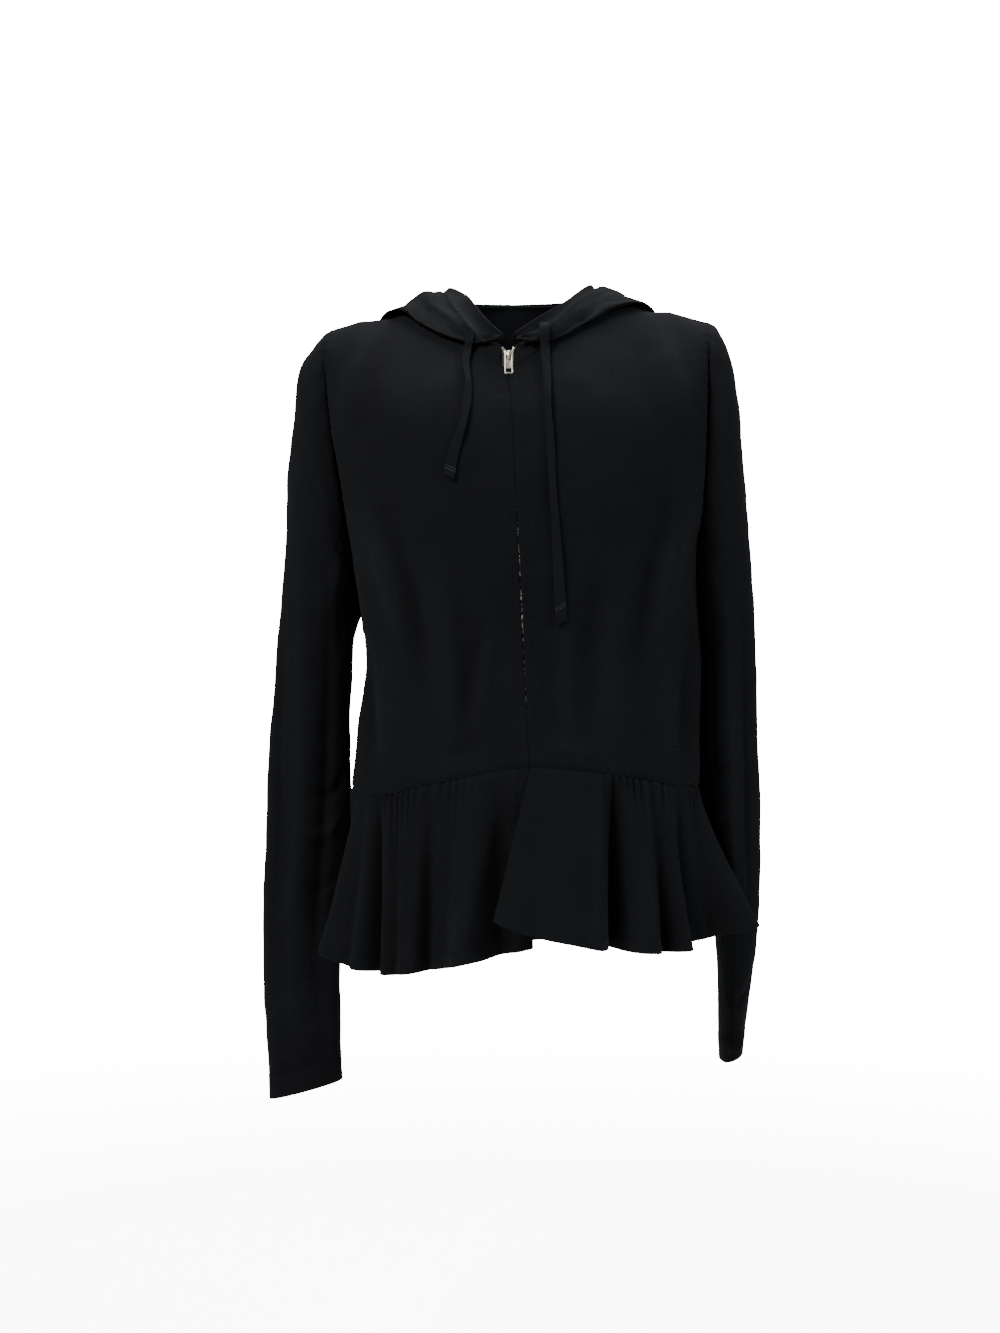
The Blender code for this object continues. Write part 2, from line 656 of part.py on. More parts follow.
def make_zip(collection, cutters, metal, tape):
    behind = ZIP_BEHIND + GAP
    top, bottom = ZIP_TOP[1] - ZIP_MARGIN[0], ZIP_END[1] + ZIP_MARGIN[1]
    half = CHAIN["width"] / 2
    zip_strip("zip_chain", LEFT, -half, half, behind, CHAIN["thick"], top - ZIP_MARGIN[0],
              bottom, collection, metal)
    inner = half + GAP
    for side, name in ((RIGHT, "zip_tape_right"), (LEFT, "zip_tape_left")):
        zip_strip(name, side, inner, inner + TAPE["width"], behind, TAPE["thick"], top + TAPE_HEAD, bottom,
                  collection, tape, spread=TAPE_SPREAD)

    foot = centre_line([bottom - ZIP_BOX[2] / 2 - GAP * 2])[0]
    block("zip_box", ZIP_BOX, (foot[0], foot[1] + behind + 0.0014, foot[2]), collection, metal, bevel=0.0005)

    # the slider's own frame lies in the slope of the fronts at the top of the zip
    seat, above = centre_line([top - SLIDER_SEAT, top + SLIDER_SEAT])
    lean = math.atan2(above[1] - seat[1], above[2] - seat[2])
    frame = bpy.data.objects.new("slider_frame", None)
    frame.location = (seat[0], seat[1] + behind, seat[2])
    frame.rotation_euler = (-lean, 0.0, 0.0)
    collection.objects.link(frame)

    plate, inside = SLIDER["plate"], SLIDER["inside"]
    front = -(inside + plate) / 2
    slider = block("zip_slider", (SLIDER["width"], plate, SLIDER["height"]), (0, front, 0), collection,
                   metal, bevel=0.0004, parent=frame)
    pieces = [
        ("back plate", (SLIDER["width"], plate, SLIDER["height"]), (0, -front, 0)),
        ("post", (0.0026, inside + plate, 0.0030), (0, 0, SLIDER["height"] / 2 - 0.0018)),
    ]
    face = front - plate / 2
    bar, reach = BRIDGE["bar"], BRIDGE["length"]
    crown = face - BRIDGE["inside"] - bar / 2
    pieces.append(("bridge bar", (BRIDGE["width"], bar, reach), (0, crown, 0.0006)))
    for end in (-1, 1):
        leg_z = 0.0006 + end * (reach - bar) / 2
        leg_y = face - (BRIDGE["inside"] - 0.0002) / 2
        pieces.append(("bridge leg", (BRIDGE["width"], BRIDGE["inside"] + 0.0006, bar), (0, leg_y, leg_z)))
    for label, size, location in pieces:
        extra = block(label, size, location, collection, metal, parent=frame)
        joined(slider, extra, "UNION", cutters)

    # the pull tab swings on its own cross bar, under the bridge
    axis = bpy.data.objects.new("tab_axis", None)
    axis.location = (0, face - BRIDGE["inside"] / 2, 0.0006)
    axis.parent = frame
    collection.objects.link(axis)
    length, eye, arm = TAB["length"], TAB["eye"], TAB["arm"]
    tab = block("pull_tab", (TAB["width"], TAB["thick"], length), (0, 0, arm * 0.5 - length / 2 + 0.0002),
                collection, metal, parent=axis)
    cuts = [
        ("eye", (TAB["width"] - 2 * arm, 0.01, eye), (0, 0, -eye / 2 - arm * 0.35)),
        ("tab hole", (TAB_HOLE["width"], 0.01, TAB_HOLE["height"]),
         (0, 0, arm * 0.5 + 0.0002 - length + TAB_HOLE["up"] + TAB_HOLE["height"] / 2)),
    ]
    for label, size, location in cuts:
        cutter = block(label, size, location, collection, metal, parent=axis)
        joined(tab, cutter, "DIFFERENCE", cutters)
    edges = tab.modifiers.new("edges", "BEVEL")
    edges.width = 0.0002
    edges.segments = 1

    # top stops, one clamped on the head of each tape
    for side, name in ((RIGHT, "zip_stop_right"), (LEFT, "zip_stop_left")):
        head = centre_line([top + TAPE_HEAD])[0]
        block(name, ZIP_STOP, (head[0] + side * STOP_OUT, head[1] - 0.0004, head[2]),
              collection, metal, bevel=0.0003, turn=side * STOP_TURN)


# ---------------------------------------------------------------- drawcords
def refined(points, times):
    """The same grid with times as many steps each way, straight between its points."""
    rows, columns = points.shape[:2]
    down = even((rows - 1) * times + 1, 0, rows - 1)
    over = even((columns - 1) * times + 1, 0, columns - 1)
    i = np.minimum(down.astype(int), rows - 2)
    j = np.minimum(over.astype(int), columns - 2)
    f, g = (down - i)[:, None, None], (over - j)[None, :, None]
    low = points[i][:, j] * (1 - g) + points[i][:, j + 1] * g
    high = points[i + 1][:, j] * (1 - g) + points[i + 1][:, j + 1] * g
    return low * (1 - f) + high * f


def make_cord(name, route, places, collection, finish):
    """A free end of the drawcord: a plain tube that lies on the front."""
    start = [(x, -0.14, z) for x, z in route]
    path = through(start, max(12, int(abs(route[0][1] - route[-1][1]) / (5 * CORD_RADIUS)) + 2))
    clear = CORD_RADIUS + WALL / 2 + GAP * 2
    for point in path:
        beside = np.hypot(places[:, 0] - point[0], places[:, 2] - point[2]) < CORD_REACH
        front = places[beside & (places[:, 1] < 0)]
        if len(front):
            point[1] = front[:, 1].min() - clear
    path[1:-1, 1] = (path[:-2, 1] + path[1:-1, 1] * 2 + path[2:, 1]) / 4
    path[:3, 1] -= GAP * 3
    curve = bpy.data.curves.new(name, "CURVE")
    curve.dimensions = "3D"
    curve.bevel_depth = CORD_RADIUS
    curve.bevel_resolution = 2
    curve.use_fill_caps = True
    line = curve.splines.new("POLY")
    line.points.add(len(path) - 1)
    for spot, point in zip(line.points, path):
        spot.co = (*point, 1.0)
    item = bpy.data.objects.new(name, curve)
    collection.objects.link(item)
    return place(item, collection, finish)


# ---------------------------------------------------------------- the garment
def main():
    clear_scene()
    scene = bpy.context.scene
    garment = bpy.data.collections.new("zip_up_hoodie")
    cutters = bpy.data.collections.new("cutters")
    scene.collection.children.link(garment)
    scene.collection.children.link(cutters)
    jersey = material("black_jersey", CLOTH_COLOUR, 0.9, 0.0)
    tape = material("zip_tape", CLOTH_COLOUR, 0.85, 0.0)
    metal = material("nickel_zip_metal", METAL_COLOUR, 0.3, 1.0)

    cloth("front_right", front_points(RIGHT), garment, jersey)
    cloth("front_left", front_points(LEFT), garment, jersey)
    cloth("back", back_points(), garment, jersey)
    cloth("sleeve_right", sleeve_points(RIGHT, 16, 20), garment, jersey, closed=True)
    cloth("sleeve_left", sleeve_points(LEFT, 16, 20), garment, jersey, closed=True)
    cloth("peplum_front_right", peplum_points("front_right", 19, 6), garment, jersey)
    cloth("peplum_front_left", peplum_points("front_left", 23, 6), garment, jersey)
    cloth("peplum_back", peplum_points("back", 35, 6), garment, jersey)

    samples = body_samples()
    under_cords = [samples[0]]
    for side, name in ((RIGHT, "hood_right"), (LEFT, "hood_left")):
        points = hood_points(side, 17, 15, samples)
        cloth(name, points, garment, jersey)
        under_cords.append(refined(points, 4).reshape(-1, 3))
    make_zip(garment, cutters, metal, tape)
    for name, route in CORDS.items():
        make_cord(name, route, np.concatenate(under_cords), garment, jersey)


main()
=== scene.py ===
# %% [markdown]
# # A zip-up hoodie in black jersey
# This lesson dresses a plain measured model of a hoodie with real cloth. The garment hangs as it does on a
# wearer: shoulders filled, sleeves empty, hood down the back, zip closed, and a gathered flounce (a peplum)
# open below the waist. The fine cloth lies where the plain cloth does, and nothing moves or scales the model.

# %% Load the frame
import json
import math

import bmesh
import bpy
import numpy as np
from mathutils import Matrix, Vector, noise


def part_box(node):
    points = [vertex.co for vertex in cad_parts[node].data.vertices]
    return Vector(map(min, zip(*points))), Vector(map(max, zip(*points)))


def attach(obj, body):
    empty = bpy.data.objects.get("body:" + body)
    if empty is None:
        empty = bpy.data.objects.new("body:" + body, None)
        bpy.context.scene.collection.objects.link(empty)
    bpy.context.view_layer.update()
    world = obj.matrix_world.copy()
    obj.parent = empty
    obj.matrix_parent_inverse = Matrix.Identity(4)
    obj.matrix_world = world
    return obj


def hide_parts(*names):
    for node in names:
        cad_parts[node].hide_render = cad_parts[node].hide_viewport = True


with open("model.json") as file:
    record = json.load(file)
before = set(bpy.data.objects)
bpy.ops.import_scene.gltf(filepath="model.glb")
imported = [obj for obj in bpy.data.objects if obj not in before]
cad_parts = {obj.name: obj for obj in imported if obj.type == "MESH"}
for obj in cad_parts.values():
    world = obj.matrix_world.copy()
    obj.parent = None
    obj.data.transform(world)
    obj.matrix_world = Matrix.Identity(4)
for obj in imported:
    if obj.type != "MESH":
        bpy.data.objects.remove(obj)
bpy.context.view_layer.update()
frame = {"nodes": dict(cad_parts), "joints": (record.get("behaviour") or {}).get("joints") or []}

# %% [markdown]
# ## Small helpers
# A shader or geometry tree is a list of nodes. One function adds a node with its settings and its links, so
# that each tree below reads as a recipe. Colours are written as sRGB hex, as a dyer's card gives them, and
# turned to the linear light that the renderer works in.

# %% Helpers for objects, trees and colours
def placed(name, data):
    """A new object of the scene, at the origin."""
    item = bpy.data.objects.new(name, data)
    bpy.context.scene.collection.objects.link(item)
    return item


def fill(tree, node, inputs):
    """Gives a node's inputs their numbers, or links them to other nodes' output sockets."""
    for name, value in inputs.items():
        if isinstance(value, bpy.types.NodeSocket):
            tree.links.new(value, node.inputs[name])
        else:
            node.inputs[name].default_value = value


def add(tree, kind, inputs=None, **settings):
    """Adds a node: settings are its own values, and inputs are as in fill."""
    made = tree.nodes.new(kind)
    for name, value in settings.items():
        setattr(made, name, value)
    fill(tree, made, inputs or {})
    return made


def maths(tree, operation, *values):
    """The result of a Math node on numbers or other nodes' output sockets."""
    return add(tree, "ShaderNodeMath", dict(enumerate(values)), operation=operation).outputs[0]


def linear(code):
    """An sRGB hex colour as linear red, green, blue and alpha."""
    values = [int(code[i:i + 2], 16) / 255 for i in (1, 3, 5)]
    return (*[v / 12.92 if v <= 0.04045 else ((v + 0.055) / 1.055) ** 2.4 for v in values], 1.0)


def ramp(tree, factor, low, high, low_at=0.0, high_at=1.0):
    """A colour between two sRGB hex colours, which are reached at two values of the factor."""
    made = add(tree, "ShaderNodeValToRGB", {0: factor})
    first, last = made.color_ramp.elements
    first.position, first.color = low_at, linear(low)
    last.position, last.color = high_at, linear(high)
    return made.outputs[0]


def shader_start(name):
    """A new material with its tree and its Principled shader."""
    made = bpy.data.materials.new(name)
    made.use_nodes = True
    return made, made.node_tree, made.node_tree.nodes["Principled BSDF"]


# %% [markdown]
# The camera stands level in front of the garment, at the middle of its height. A long lens from 1.7 m keeps
# the sleeves as straight as the eye sees them.

# %% Camera
VIEW_DISTANCE, VIEW_HEIGHT = 1.7, 1.16     # metres from the garment, and the height of what is seen there
VIEW_MIDDLE = (-0.0104, -0.292)            # x and z of the middle of the view
SENSOR = 36.0                              # millimetres
camera_data = bpy.data.cameras.new("studio_camera")
camera_data.sensor_fit = "VERTICAL"
camera_data.sensor_height = SENSOR
camera_data.lens = SENSOR * VIEW_DISTANCE / VIEW_HEIGHT
camera = placed("studio_camera", camera_data)
camera.location = (VIEW_MIDDLE[0], -VIEW_DISTANCE, VIEW_MIDDLE[1])
camera.rotation_euler = (math.radians(90), 0.0, 0.0)
bpy.context.scene.camera = camera
print("lens", round(camera_data.lens, 1), "mm")

# %% [markdown]
# ## Black cotton jersey
# Jersey is knitted in one thread: its face is columns of small V-shaped stitches. Piece-dyed black cotton is
# matt, with a soft bloom of loose fibres where it turns away from the eye. Its colour is a little lighter on
# the ridges of its folds, as wear where they rub and as painted light, and a little darker in their troughs,
# as painted shade. The knit is drawn from the cloth's own map in metres. Real stitches are 0.7 mm wide and
# would not show, so they are drawn 1.7 mm wide.

# %% Jersey
STITCH_WIDE, STITCH_TALL = 0.0017, 0.0013      # metres; coarser than the real 0.7 mm so that they show
STITCH_LEAN = 0.8                              # how steeply the two legs of each V lean
jersey, tree, shader = shader_start("black_cotton_jersey")      # cotton single jersey, dyed black
cloth_map = add(tree, "ShaderNodeUVMap", uv_map="cloth_m").outputs["UV"]
parts = add(tree, "ShaderNodeSeparateXYZ", {0: cloth_map}).outputs
saw = maths(tree, "PINGPONG", maths(tree, "DIVIDE", parts[0], STITCH_WIDE), 1.0)
course = maths(tree, "DIVIDE", parts[1], STITCH_TALL)
slant = maths(tree, "MULTIPLY_ADD", saw, STITCH_LEAN, course)
loop = maths(tree, "SINE", maths(tree, "MULTIPLY", slant, 2 * math.pi))
wale = maths(tree, "SINE", maths(tree, "MULTIPLY", saw, math.pi))
knit = maths(tree, "MULTIPLY_ADD", loop, 0.35, wale)
place = add(tree, "ShaderNodeTexCoord").outputs["Object"]
fibre = add(tree, "ShaderNodeTexNoise", {"Vector": place, "Scale": 2200.0, "Detail": 3.0}).outputs[0]
dye = add(tree, "ShaderNodeTexNoise", {"Vector": place, "Scale": 28.0, "Detail": 4.0}).outputs[0]
bump = add(tree, "ShaderNodeBump", {"Strength": 0.30, "Distance": 0.00022, "Height": knit}).outputs[0]
fuzz = add(tree, "ShaderNodeBump", {"Strength": 0.22, "Distance": 0.0003, "Height": fibre, "Normal": bump})
# the folds' height: lighter on ridges (wear and painted light), darker in troughs (painted shade)
ridge = add(tree, "ShaderNodeAttribute", attribute_name="ridge").outputs["Fac"]
shade = maths(tree, "MULTIPLY_ADD", dye, 0.30, ridge)
matt = add(tree, "ShaderNodeMapRange", {0: fibre, 3: 0.78, 4: 0.96})
fill(tree, shader, {"Base Color": ramp(tree, shade, "#050506", "#0e0f11", 0.10, 1.0),
                    "Roughness": matt.outputs[0], "Normal": fuzz.outputs[0], "Specular IOR Level": 0.06,
                    "Sheen Weight": 0.03, "Sheen Roughness": 0.55, "Sheen Tint": linear("#8f9499")})
print("jersey has", len(tree.nodes), "nodes")

# %% [markdown]
# ## Sewing thread, zip tape and zip metal
# Spun polyester thread is dyed to match the cloth, and twisted. Where a machine has sewn to and fro, its
# fibres stand up and catch more light, so that thread is painted paler as a painted highlight. The tape is
# woven polyester in a twill. The slider and its pull are die-cast zinc plated with pale nickel: bright, warm,
# and finely scratched where fingers rub. The teeth are the same metal, painted near black as painted shade,
# with random pale patches as painted glints.

# %% Thread, tape and nickel
def polyester(name, scale, distortion, lint_scale, low, high, strength, depth):
    """Twisted or woven polyester: a wave for the twist, and lint that changes the tone."""
    made, tree, shader = shader_start(name)
    place = add(tree, "ShaderNodeTexCoord").outputs["Object"]
    wave = add(tree, "ShaderNodeTexWave", {"Vector": place, "Scale": scale, "Distortion": distortion},
               bands_direction="DIAGONAL").outputs[1]
    lint = add(tree, "ShaderNodeTexNoise", {"Vector": place, "Scale": lint_scale}).outputs[0]
    twist = add(tree, "ShaderNodeBump", {"Strength": strength, "Distance": depth, "Height": wave})
    fill(tree, shader, {"Base Color": ramp(tree, lint, low, high), "Normal": twist.outputs[0]})
    return made, shader


# the bar tack's thread is painted paler, as a painted highlight of its raised fibres
MATCHED, TACK_HIGHLIGHT_TONES = ("#050506", "#0c0d0e"), ("#2c2d2f", "#434447")      # thread beside cloth, and heaped up
threads = []
for name, tones in (("spun_polyester_thread", MATCHED), ("spun_polyester_bar_tack", TACK_HIGHLIGHT_TONES)):
    made, shader = polyester(name, 900.0, 1.0, 350.0, *tones, 0.5, 0.0001)
    fill(made.node_tree, shader, {"Roughness": 0.75, "Sheen Weight": 0.03, "Specular IOR Level": 0.12})
    threads.append(made)
thread, tack_thread_painted_highlight = threads

tape_cloth, shader = polyester("woven_polyester_tape", 420.0, 0.4, 600.0, "#101113", "#1e2023", 0.6, 0.0002)
shader.inputs["Roughness"].default_value = 0.7

nickel, tree, shader = shader_start("nickel_plated_zinc")
place = add(tree, "ShaderNodeTexCoord").outputs["Object"]
drawn_out = add(tree, "ShaderNodeMapping", {"Vector": place, "Scale": (900.0, 900.0, 160.0)}).outputs[0]
scratch = add(tree, "ShaderNodeTexNoise", {"Vector": drawn_out, "Scale": 1.0, "Detail": 4.0}).outputs[0]
smear = add(tree, "ShaderNodeTexNoise", {"Vector": place, "Scale": 260.0}).outputs[0]
gloss = add(tree, "ShaderNodeMapRange", {0: smear, 3: 0.24, 4: 0.46}).outputs[0]
fine = add(tree, "ShaderNodeBump", {"Strength": 0.15, "Distance": 0.00008, "Height": scratch}).outputs[0]
fill(tree, shader, {"Base Color": ramp(tree, scratch, "#8d8677", "#cbc4b5"), "Roughness": gloss,
                    "Normal": fine, "Metallic": 1.0})

teeth_nickel_painted_glints, tree, shader = shader_start("tarnished_nickel_teeth")
place = add(tree, "ShaderNodeTexCoord").outputs["Object"]
# random patches: pale ones are painted glints, dark ones painted shade on the nickel
glint_patch_noise = add(tree, "ShaderNodeTexNoise", {"Vector": place, "Scale": 190.0, "Detail": 2.0}).outputs[0]
gloss = add(tree, "ShaderNodeMapRange", {0: glint_patch_noise, 1: 0.4, 2: 0.7, 3: 0.6, 4: 0.3}).outputs[0]
fill(tree, shader, {"Base Color": ramp(tree, glint_patch_noise, "#1c1c1f", "#dcdcd8", 0.47, 0.61), "Roughness": gloss,
                    "Metallic": 1.0})
print("materials:", [m.name for m in (jersey, thread, tack_thread_painted_highlight, tape_cloth, nickel, teeth_nickel_painted_glints)])

# %% [markdown]
# ## The garment's lines
# The cloth follows the same measured lines as the plain model: rings round the body, the armhole, the
# neckline, the rings of the hanging sleeves and the lines that the hood folds along. Each line is a short
# table, and one spline joins the rows, so the fine cloth below lies where the plain walls lie.

# %% Measured lines
LEFT, RIGHT = 1, -1        # the wearer's sides: left is +X
WALL = 0.0012              # cloth wall
GAP = 0.0003               # running clearance between neighbouring pieces
PANEL_SHIFT = 0.0004       # each of front and back stands this far from the side and shoulder seams

UNDERARM_Z = -0.205        # bottom of both armholes
ZIP_TOP = (-0.0037, -0.025)     # x and z of the zip line at the neck
ZIP_END = (0.0133, -0.366)      # x and z of the zip line at the peplum seam
ARMHOLE_DEPTH = 0.048      # how far the armhole reaches to the front and to the back
SHOULDER_TIP = {RIGHT: (-0.165, 0.0, -0.010), LEFT: (0.170, 0.0, 0.001)}
NECK_POINT = {RIGHT: (-0.074, -0.002, 0.021), LEFT: (0.080, -0.002, 0.028)}
V_POINT = (-0.0037, -0.080, -0.025)       # bottom of the neck's V
NAPE = (0.003, 0.054, 0.031)              # middle of the back neckline
NECK_SHARE = 0.42          # share of a panel's top edge that is neckline; the rest is shoulder seam
YOKE = 0.020               # the cloth lies over the shoulder this far on each side of its seam
YOKE_DROP = 0.005          # and has fallen this much by then, at the neck point

# one row per level of the body below the armholes
BODY_RINGS = [  # z, right side x, left side x, front depth, back depth, squareness
    (-0.396, -0.1385, 0.1625, 0.102, 0.096, 2.3),
    (-0.345, -0.1340, 0.1628, 0.097, 0.089, 2.3),
    (-0.287, -0.128, 0.1632, 0.096, 0.085, 2.3),
    (UNDERARM_Z, -0.137, 0.1590, 0.109, 0.097, 2.4),
]
# the front hem is not level: it rises towards the zip
HEM_LINE = [  # share of the way from the zip to the side seam, right front z, left front z
    (0.00, -0.374, -0.374),
    (0.30, -0.388, -0.382),
    (0.55, -0.399, -0.390),
    (1.00, -0.396, -0.396),
]
# one row per level of the chest, from the underarm to the top of the armhole
CHEST_ROWS = [  # share up the armhole, front y, front z, back y, back z, turn in degrees
    (0.00, -0.109, UNDERARM_Z, 0.097, UNDERARM_Z, 90.0),
    (0.33, -0.116, -0.145, 0.102, -0.135, 68.0),
    (0.66, -0.107, -0.085, 0.093, -0.060, 58.0),
]

# sleeves: one row per ring, from the shoulder to the cuff, as the ring's outer and inner ends
SLEEVE_RINGS = {
    RIGHT: [  # outer x, outer z, inner x, inner z, middle y, depth, squareness
        (-0.1800, -0.026, -0.1400, -0.2080, 0.000, 0.098, 2.2),
        (-0.1896, -0.078, -0.1405, -0.2160, 0.001, 0.096, 2.2),
        (-0.1931, -0.113, -0.1400, -0.2300, 0.002, 0.090, 2.2),
        (-0.1974, -0.200, -0.1392, -0.2640, 0.003, 0.080, 2.2),
        (-0.2030, -0.266, -0.1395, -0.3000, 0.004, 0.070, 2.2),
        (-0.2096, -0.340, -0.1425, -0.3480, 0.005, 0.058, 2.2),
        (-0.2145, -0.450, -0.1470, -0.4470, 0.006, 0.046, 2.2),
        (-0.2166, -0.530, -0.1505, -0.5230, 0.004, 0.040, 2.2),
        (-0.2140, -0.600, -0.1496, -0.5900, 0.002, 0.034, 2.2),
        (-0.2105, -0.667, -0.1479, -0.6500, 0.000, 0.030, 2.2),
    ],
    LEFT: [
        (0.1850, -0.016, 0.1622, -0.2080, 0.000, 0.098, 2.2),
        (0.1960, -0.060, 0.1630, -0.2160, 0.002, 0.096, 2.2),
        (0.1993, -0.097, 0.1640, -0.2300, 0.004, 0.092, 2.2),
        (0.2063, -0.182, 0.1665, -0.2640, 0.008, 0.084, 2.2),
        (0.2110, -0.245, 0.1672, -0.3000, 0.012, 0.080, 2.2),
        (0.2130, -0.339, 0.1682, -0.3600, 0.016, 0.074, 2.2),
        (0.2150, -0.450, 0.1735, -0.4560, 0.019, 0.066, 2.2),
        (0.2140, -0.525, 0.1800, -0.5290, 0.018, 0.062, 2.2),
        (0.2063, -0.582, 0.1815, -0.5860, 0.014, 0.060, 2.2),
        (0.2010, -0.627, 0.1822, -0.6350, 0.011, 0.058, 2.2),
    ],
}
SEAM_STEP = 0.0019         # a sleeve's first ring stands this far out from the armhole's edge

# peplum: how far its folds stand out at the hem; places run from the centre-front edge to the side seam
PEPLUM_LENGTH = {   # share along the seam, length of cloth below it
    "front_right": [(0.0, 0.147), (0.2, 0.151), (0.42, 0.151), (0.62, 0.146), (0.80, 0.134), (1.0, 0.130)],
    "front_left": [(0.0, 0.126), (0.10, 0.137), (0.26, 0.142), (0.50, 0.138), (0.68, 0.128), (0.82, 0.121),
                   (1.0, 0.124)],
    "back": [(0.0, 0.130), (0.14, 0.136), (0.32, 0.146), (0.68, 0.145), (0.86, 0.132), (1.0, 0.126)],
}
PEPLUM_FLARE = 0.007       # how far the whole peplum opens at the hem, less at the side seams
PEPLUM_FOLDS = {
    "front_right": [  # place, width, outward, sideways (all at the hem)
        (0.03, 0.06, 0.004, 0.004),
        (0.17, 0.07, 0.030, 0.000),
        (0.39, 0.06, 0.007, 0.000),
        (0.78, 0.10, 0.034, 0.004),
    ],
    "front_left": [
        (0.02, 0.08, 0.034, -0.032),
        (0.15, 0.07, 0.046, -0.012),
        (0.38, 0.06, 0.024, 0.000),
        (0.52, 0.05, 0.026, 0.000),
        (0.79, 0.08, 0.044, 0.006),
    ],
    "back": [
        (0.07, 0.035, 0.030, 0.000),
        (0.16, 0.05, 0.020, 0.000),
        (0.29, 0.05, 0.012, 0.000),
        (0.42, 0.05, 0.036, 0.000),
        (0.55, 0.05, 0.016, 0.000),
        (0.68, 0.05, 0.036, 0.000),
        (0.80, 0.04, 0.014, 0.000),
        (0.92, 0.035, 0.026, 0.000),
    ],
}

# hood: the lines that its cloth is lofted through, each from the zip's top to the middle of the back
HOOD_LINES = {
    LEFT: {
        "fall": [  # share of the neckline, x, y, z
            (0.00, 0.0022, -0.0830, -0.0228),
            (0.16, 0.037, -0.072, -0.020),
            (0.32, 0.068, -0.050, -0.002),
            (0.48, 0.112, -0.016, 0.016),
            (0.64, 0.128, 0.054, -0.048),
            (0.82, 0.084, 0.102, -0.140),
            (1.00, 0.003, 0.104, -0.168),
        ],
        "ridge": [
            (0.00, 0.0012, -0.0835, -0.0210),
            (0.07, 0.016, -0.079, -0.0150),
            (0.16, 0.032, -0.072, -0.008),
            (0.32, 0.057, -0.046, 0.018),
            (0.48, 0.080, -0.004, 0.037),
            (0.64, 0.094, 0.045, 0.036),
            (0.82, 0.062, 0.096, 0.020),
            (1.00, 0.003, 0.118, 0.006),
        ],
        "valley": [
            (0.00, 0.0004, -0.0825, -0.0196),
            (0.07, 0.013, -0.077, -0.0130),
            (0.16, 0.029, -0.066, -0.006),
            (0.32, 0.052, -0.040, 0.016),
            (0.48, 0.073, -0.002, 0.034),
            (0.64, 0.080, 0.040, 0.022),
            (0.82, 0.052, 0.082, 0.004),
            (1.00, 0.003, 0.100, -0.012),
        ],
        "edge": [
            (0.00, -0.0004, -0.0810, -0.0178),
            (0.07, 0.010, -0.074, -0.0098),
            (0.16, 0.026, -0.060, 0.003),
            (0.32, 0.047, -0.034, 0.020),
            (0.48, 0.062, 0.000, 0.036),
            (0.64, 0.066, 0.036, 0.032),
            (0.82, 0.042, 0.070, 0.016),
            (1.00, 0.003, 0.084, 0.002),
        ],
    },
    RIGHT: {
        "fall": [
            (0.00, -0.0096, -0.0830, -0.0228),
            (0.16, -0.042, -0.070, -0.022),
            (0.32, -0.076, -0.046, -0.004),
            (0.48, -0.104, -0.012, 0.012),
            (0.64, -0.120, 0.054, -0.052),
            (0.82, -0.078, 0.102, -0.142),
            (1.00, 0.003, 0.104, -0.168),
        ],
        "ridge": [
            (0.00, -0.0086, -0.0835, -0.0210),
            (0.07, -0.020, -0.078, -0.0165),
            (0.16, -0.038, -0.068, -0.009),
            (0.32, -0.066, -0.040, 0.014),
            (0.48, -0.074, -0.004, 0.034),
            (0.64, -0.088, 0.045, 0.030),
            (0.82, -0.058, 0.096, 0.016),
            (1.00, 0.003, 0.118, 0.006),
        ],
        "valley": [
            (0.00, -0.0078, -0.0825, -0.0196),
            (0.07, -0.0165, -0.077, -0.0148),
            (0.16, -0.031, -0.067, -0.006),
            (0.32, -0.057, -0.038, 0.012),
            (0.48, -0.058, -0.002, 0.031),
            (0.64, -0.070, 0.040, 0.018),
            (0.82, -0.048, 0.082, 0.002),
            (1.00, 0.003, 0.100, -0.012),
        ],
        "edge": [
            (0.00, -0.0070, -0.0810, -0.0178),
            (0.07, -0.0125, -0.0745, -0.0125),
            (0.16, -0.0215, -0.062, -0.002),
            (0.32, -0.036, -0.036, 0.021),
            (0.48, -0.041, 0.000, 0.030),
            (0.64, -0.052, 0.036, 0.028),
            (0.82, -0.034, 0.070, 0.014),
            (1.00, 0.003, 0.084, 0.002),
        ],
    },
}
# how far the shoulder pads out above the plain model, at distances from the middle of the body
SHOULDER_RISE = {
    RIGHT: [(0.104, 0.0), (0.115, 0.0026), (0.131, 0.0070), (0.157, 0.0076), (0.166, 0.0054), (0.174, 0.0)],
    LEFT: [(0.120, 0.0), (0.137, 0.0056), (0.165, 0.0062), (0.1765, 0.0090), (0.182, 0.0050), (0.188, 0.0)],
}
SHOULDER_LOW, SHOULDER_HIGH = -0.075, -0.022     # heights between which that rise fades in
HOOD_SWELL = 0.026         # the pouch's depth at the middle of the back
HOOD_SLUMP = {LEFT: 0.008, RIGHT: 0.011}     # how far the outer roll has sunk beside the neck
HOOD_LIFT = 0.0055         # the hood's cloth clears the body's by this, middle to middle

ZIP_CLEAR = 0.0007         # each front's edge stands this far from the zip's middle
ZIP_GAPE = 0.00055         # and this much further in the middle of the chest, where the zip gapes
SLIDER_OPEN = 0.0066       # and this far at the slider
SLIDER_LOW = -0.040        # the slider's foot, where the fronts begin to close
SLIDER_RUN = 0.009         # the height over which they close

# the drawcord's two free ends, x and z down each route
CORDS = {
    "drawcord_right": [
        (-0.0340, -0.013), (-0.0368, -0.026), (-0.0385, -0.040), (-0.0362, -0.058), (-0.0372, -0.074),
        (-0.0390, -0.088), (-0.0425, -0.101), (-0.0475, -0.118), (-0.0520, -0.138),
    ],
    "drawcord_left": [
        (0.0262, -0.0050), (0.0268, -0.022), (0.0276, -0.040), (0.0284, -0.062), (0.0300, -0.090),
        (0.0312, -0.118), (0.0326, -0.148), (0.0348, -0.178), (0.0366, -0.205), (0.0384, -0.232),
        (0.0400, -0.256),
    ],
}


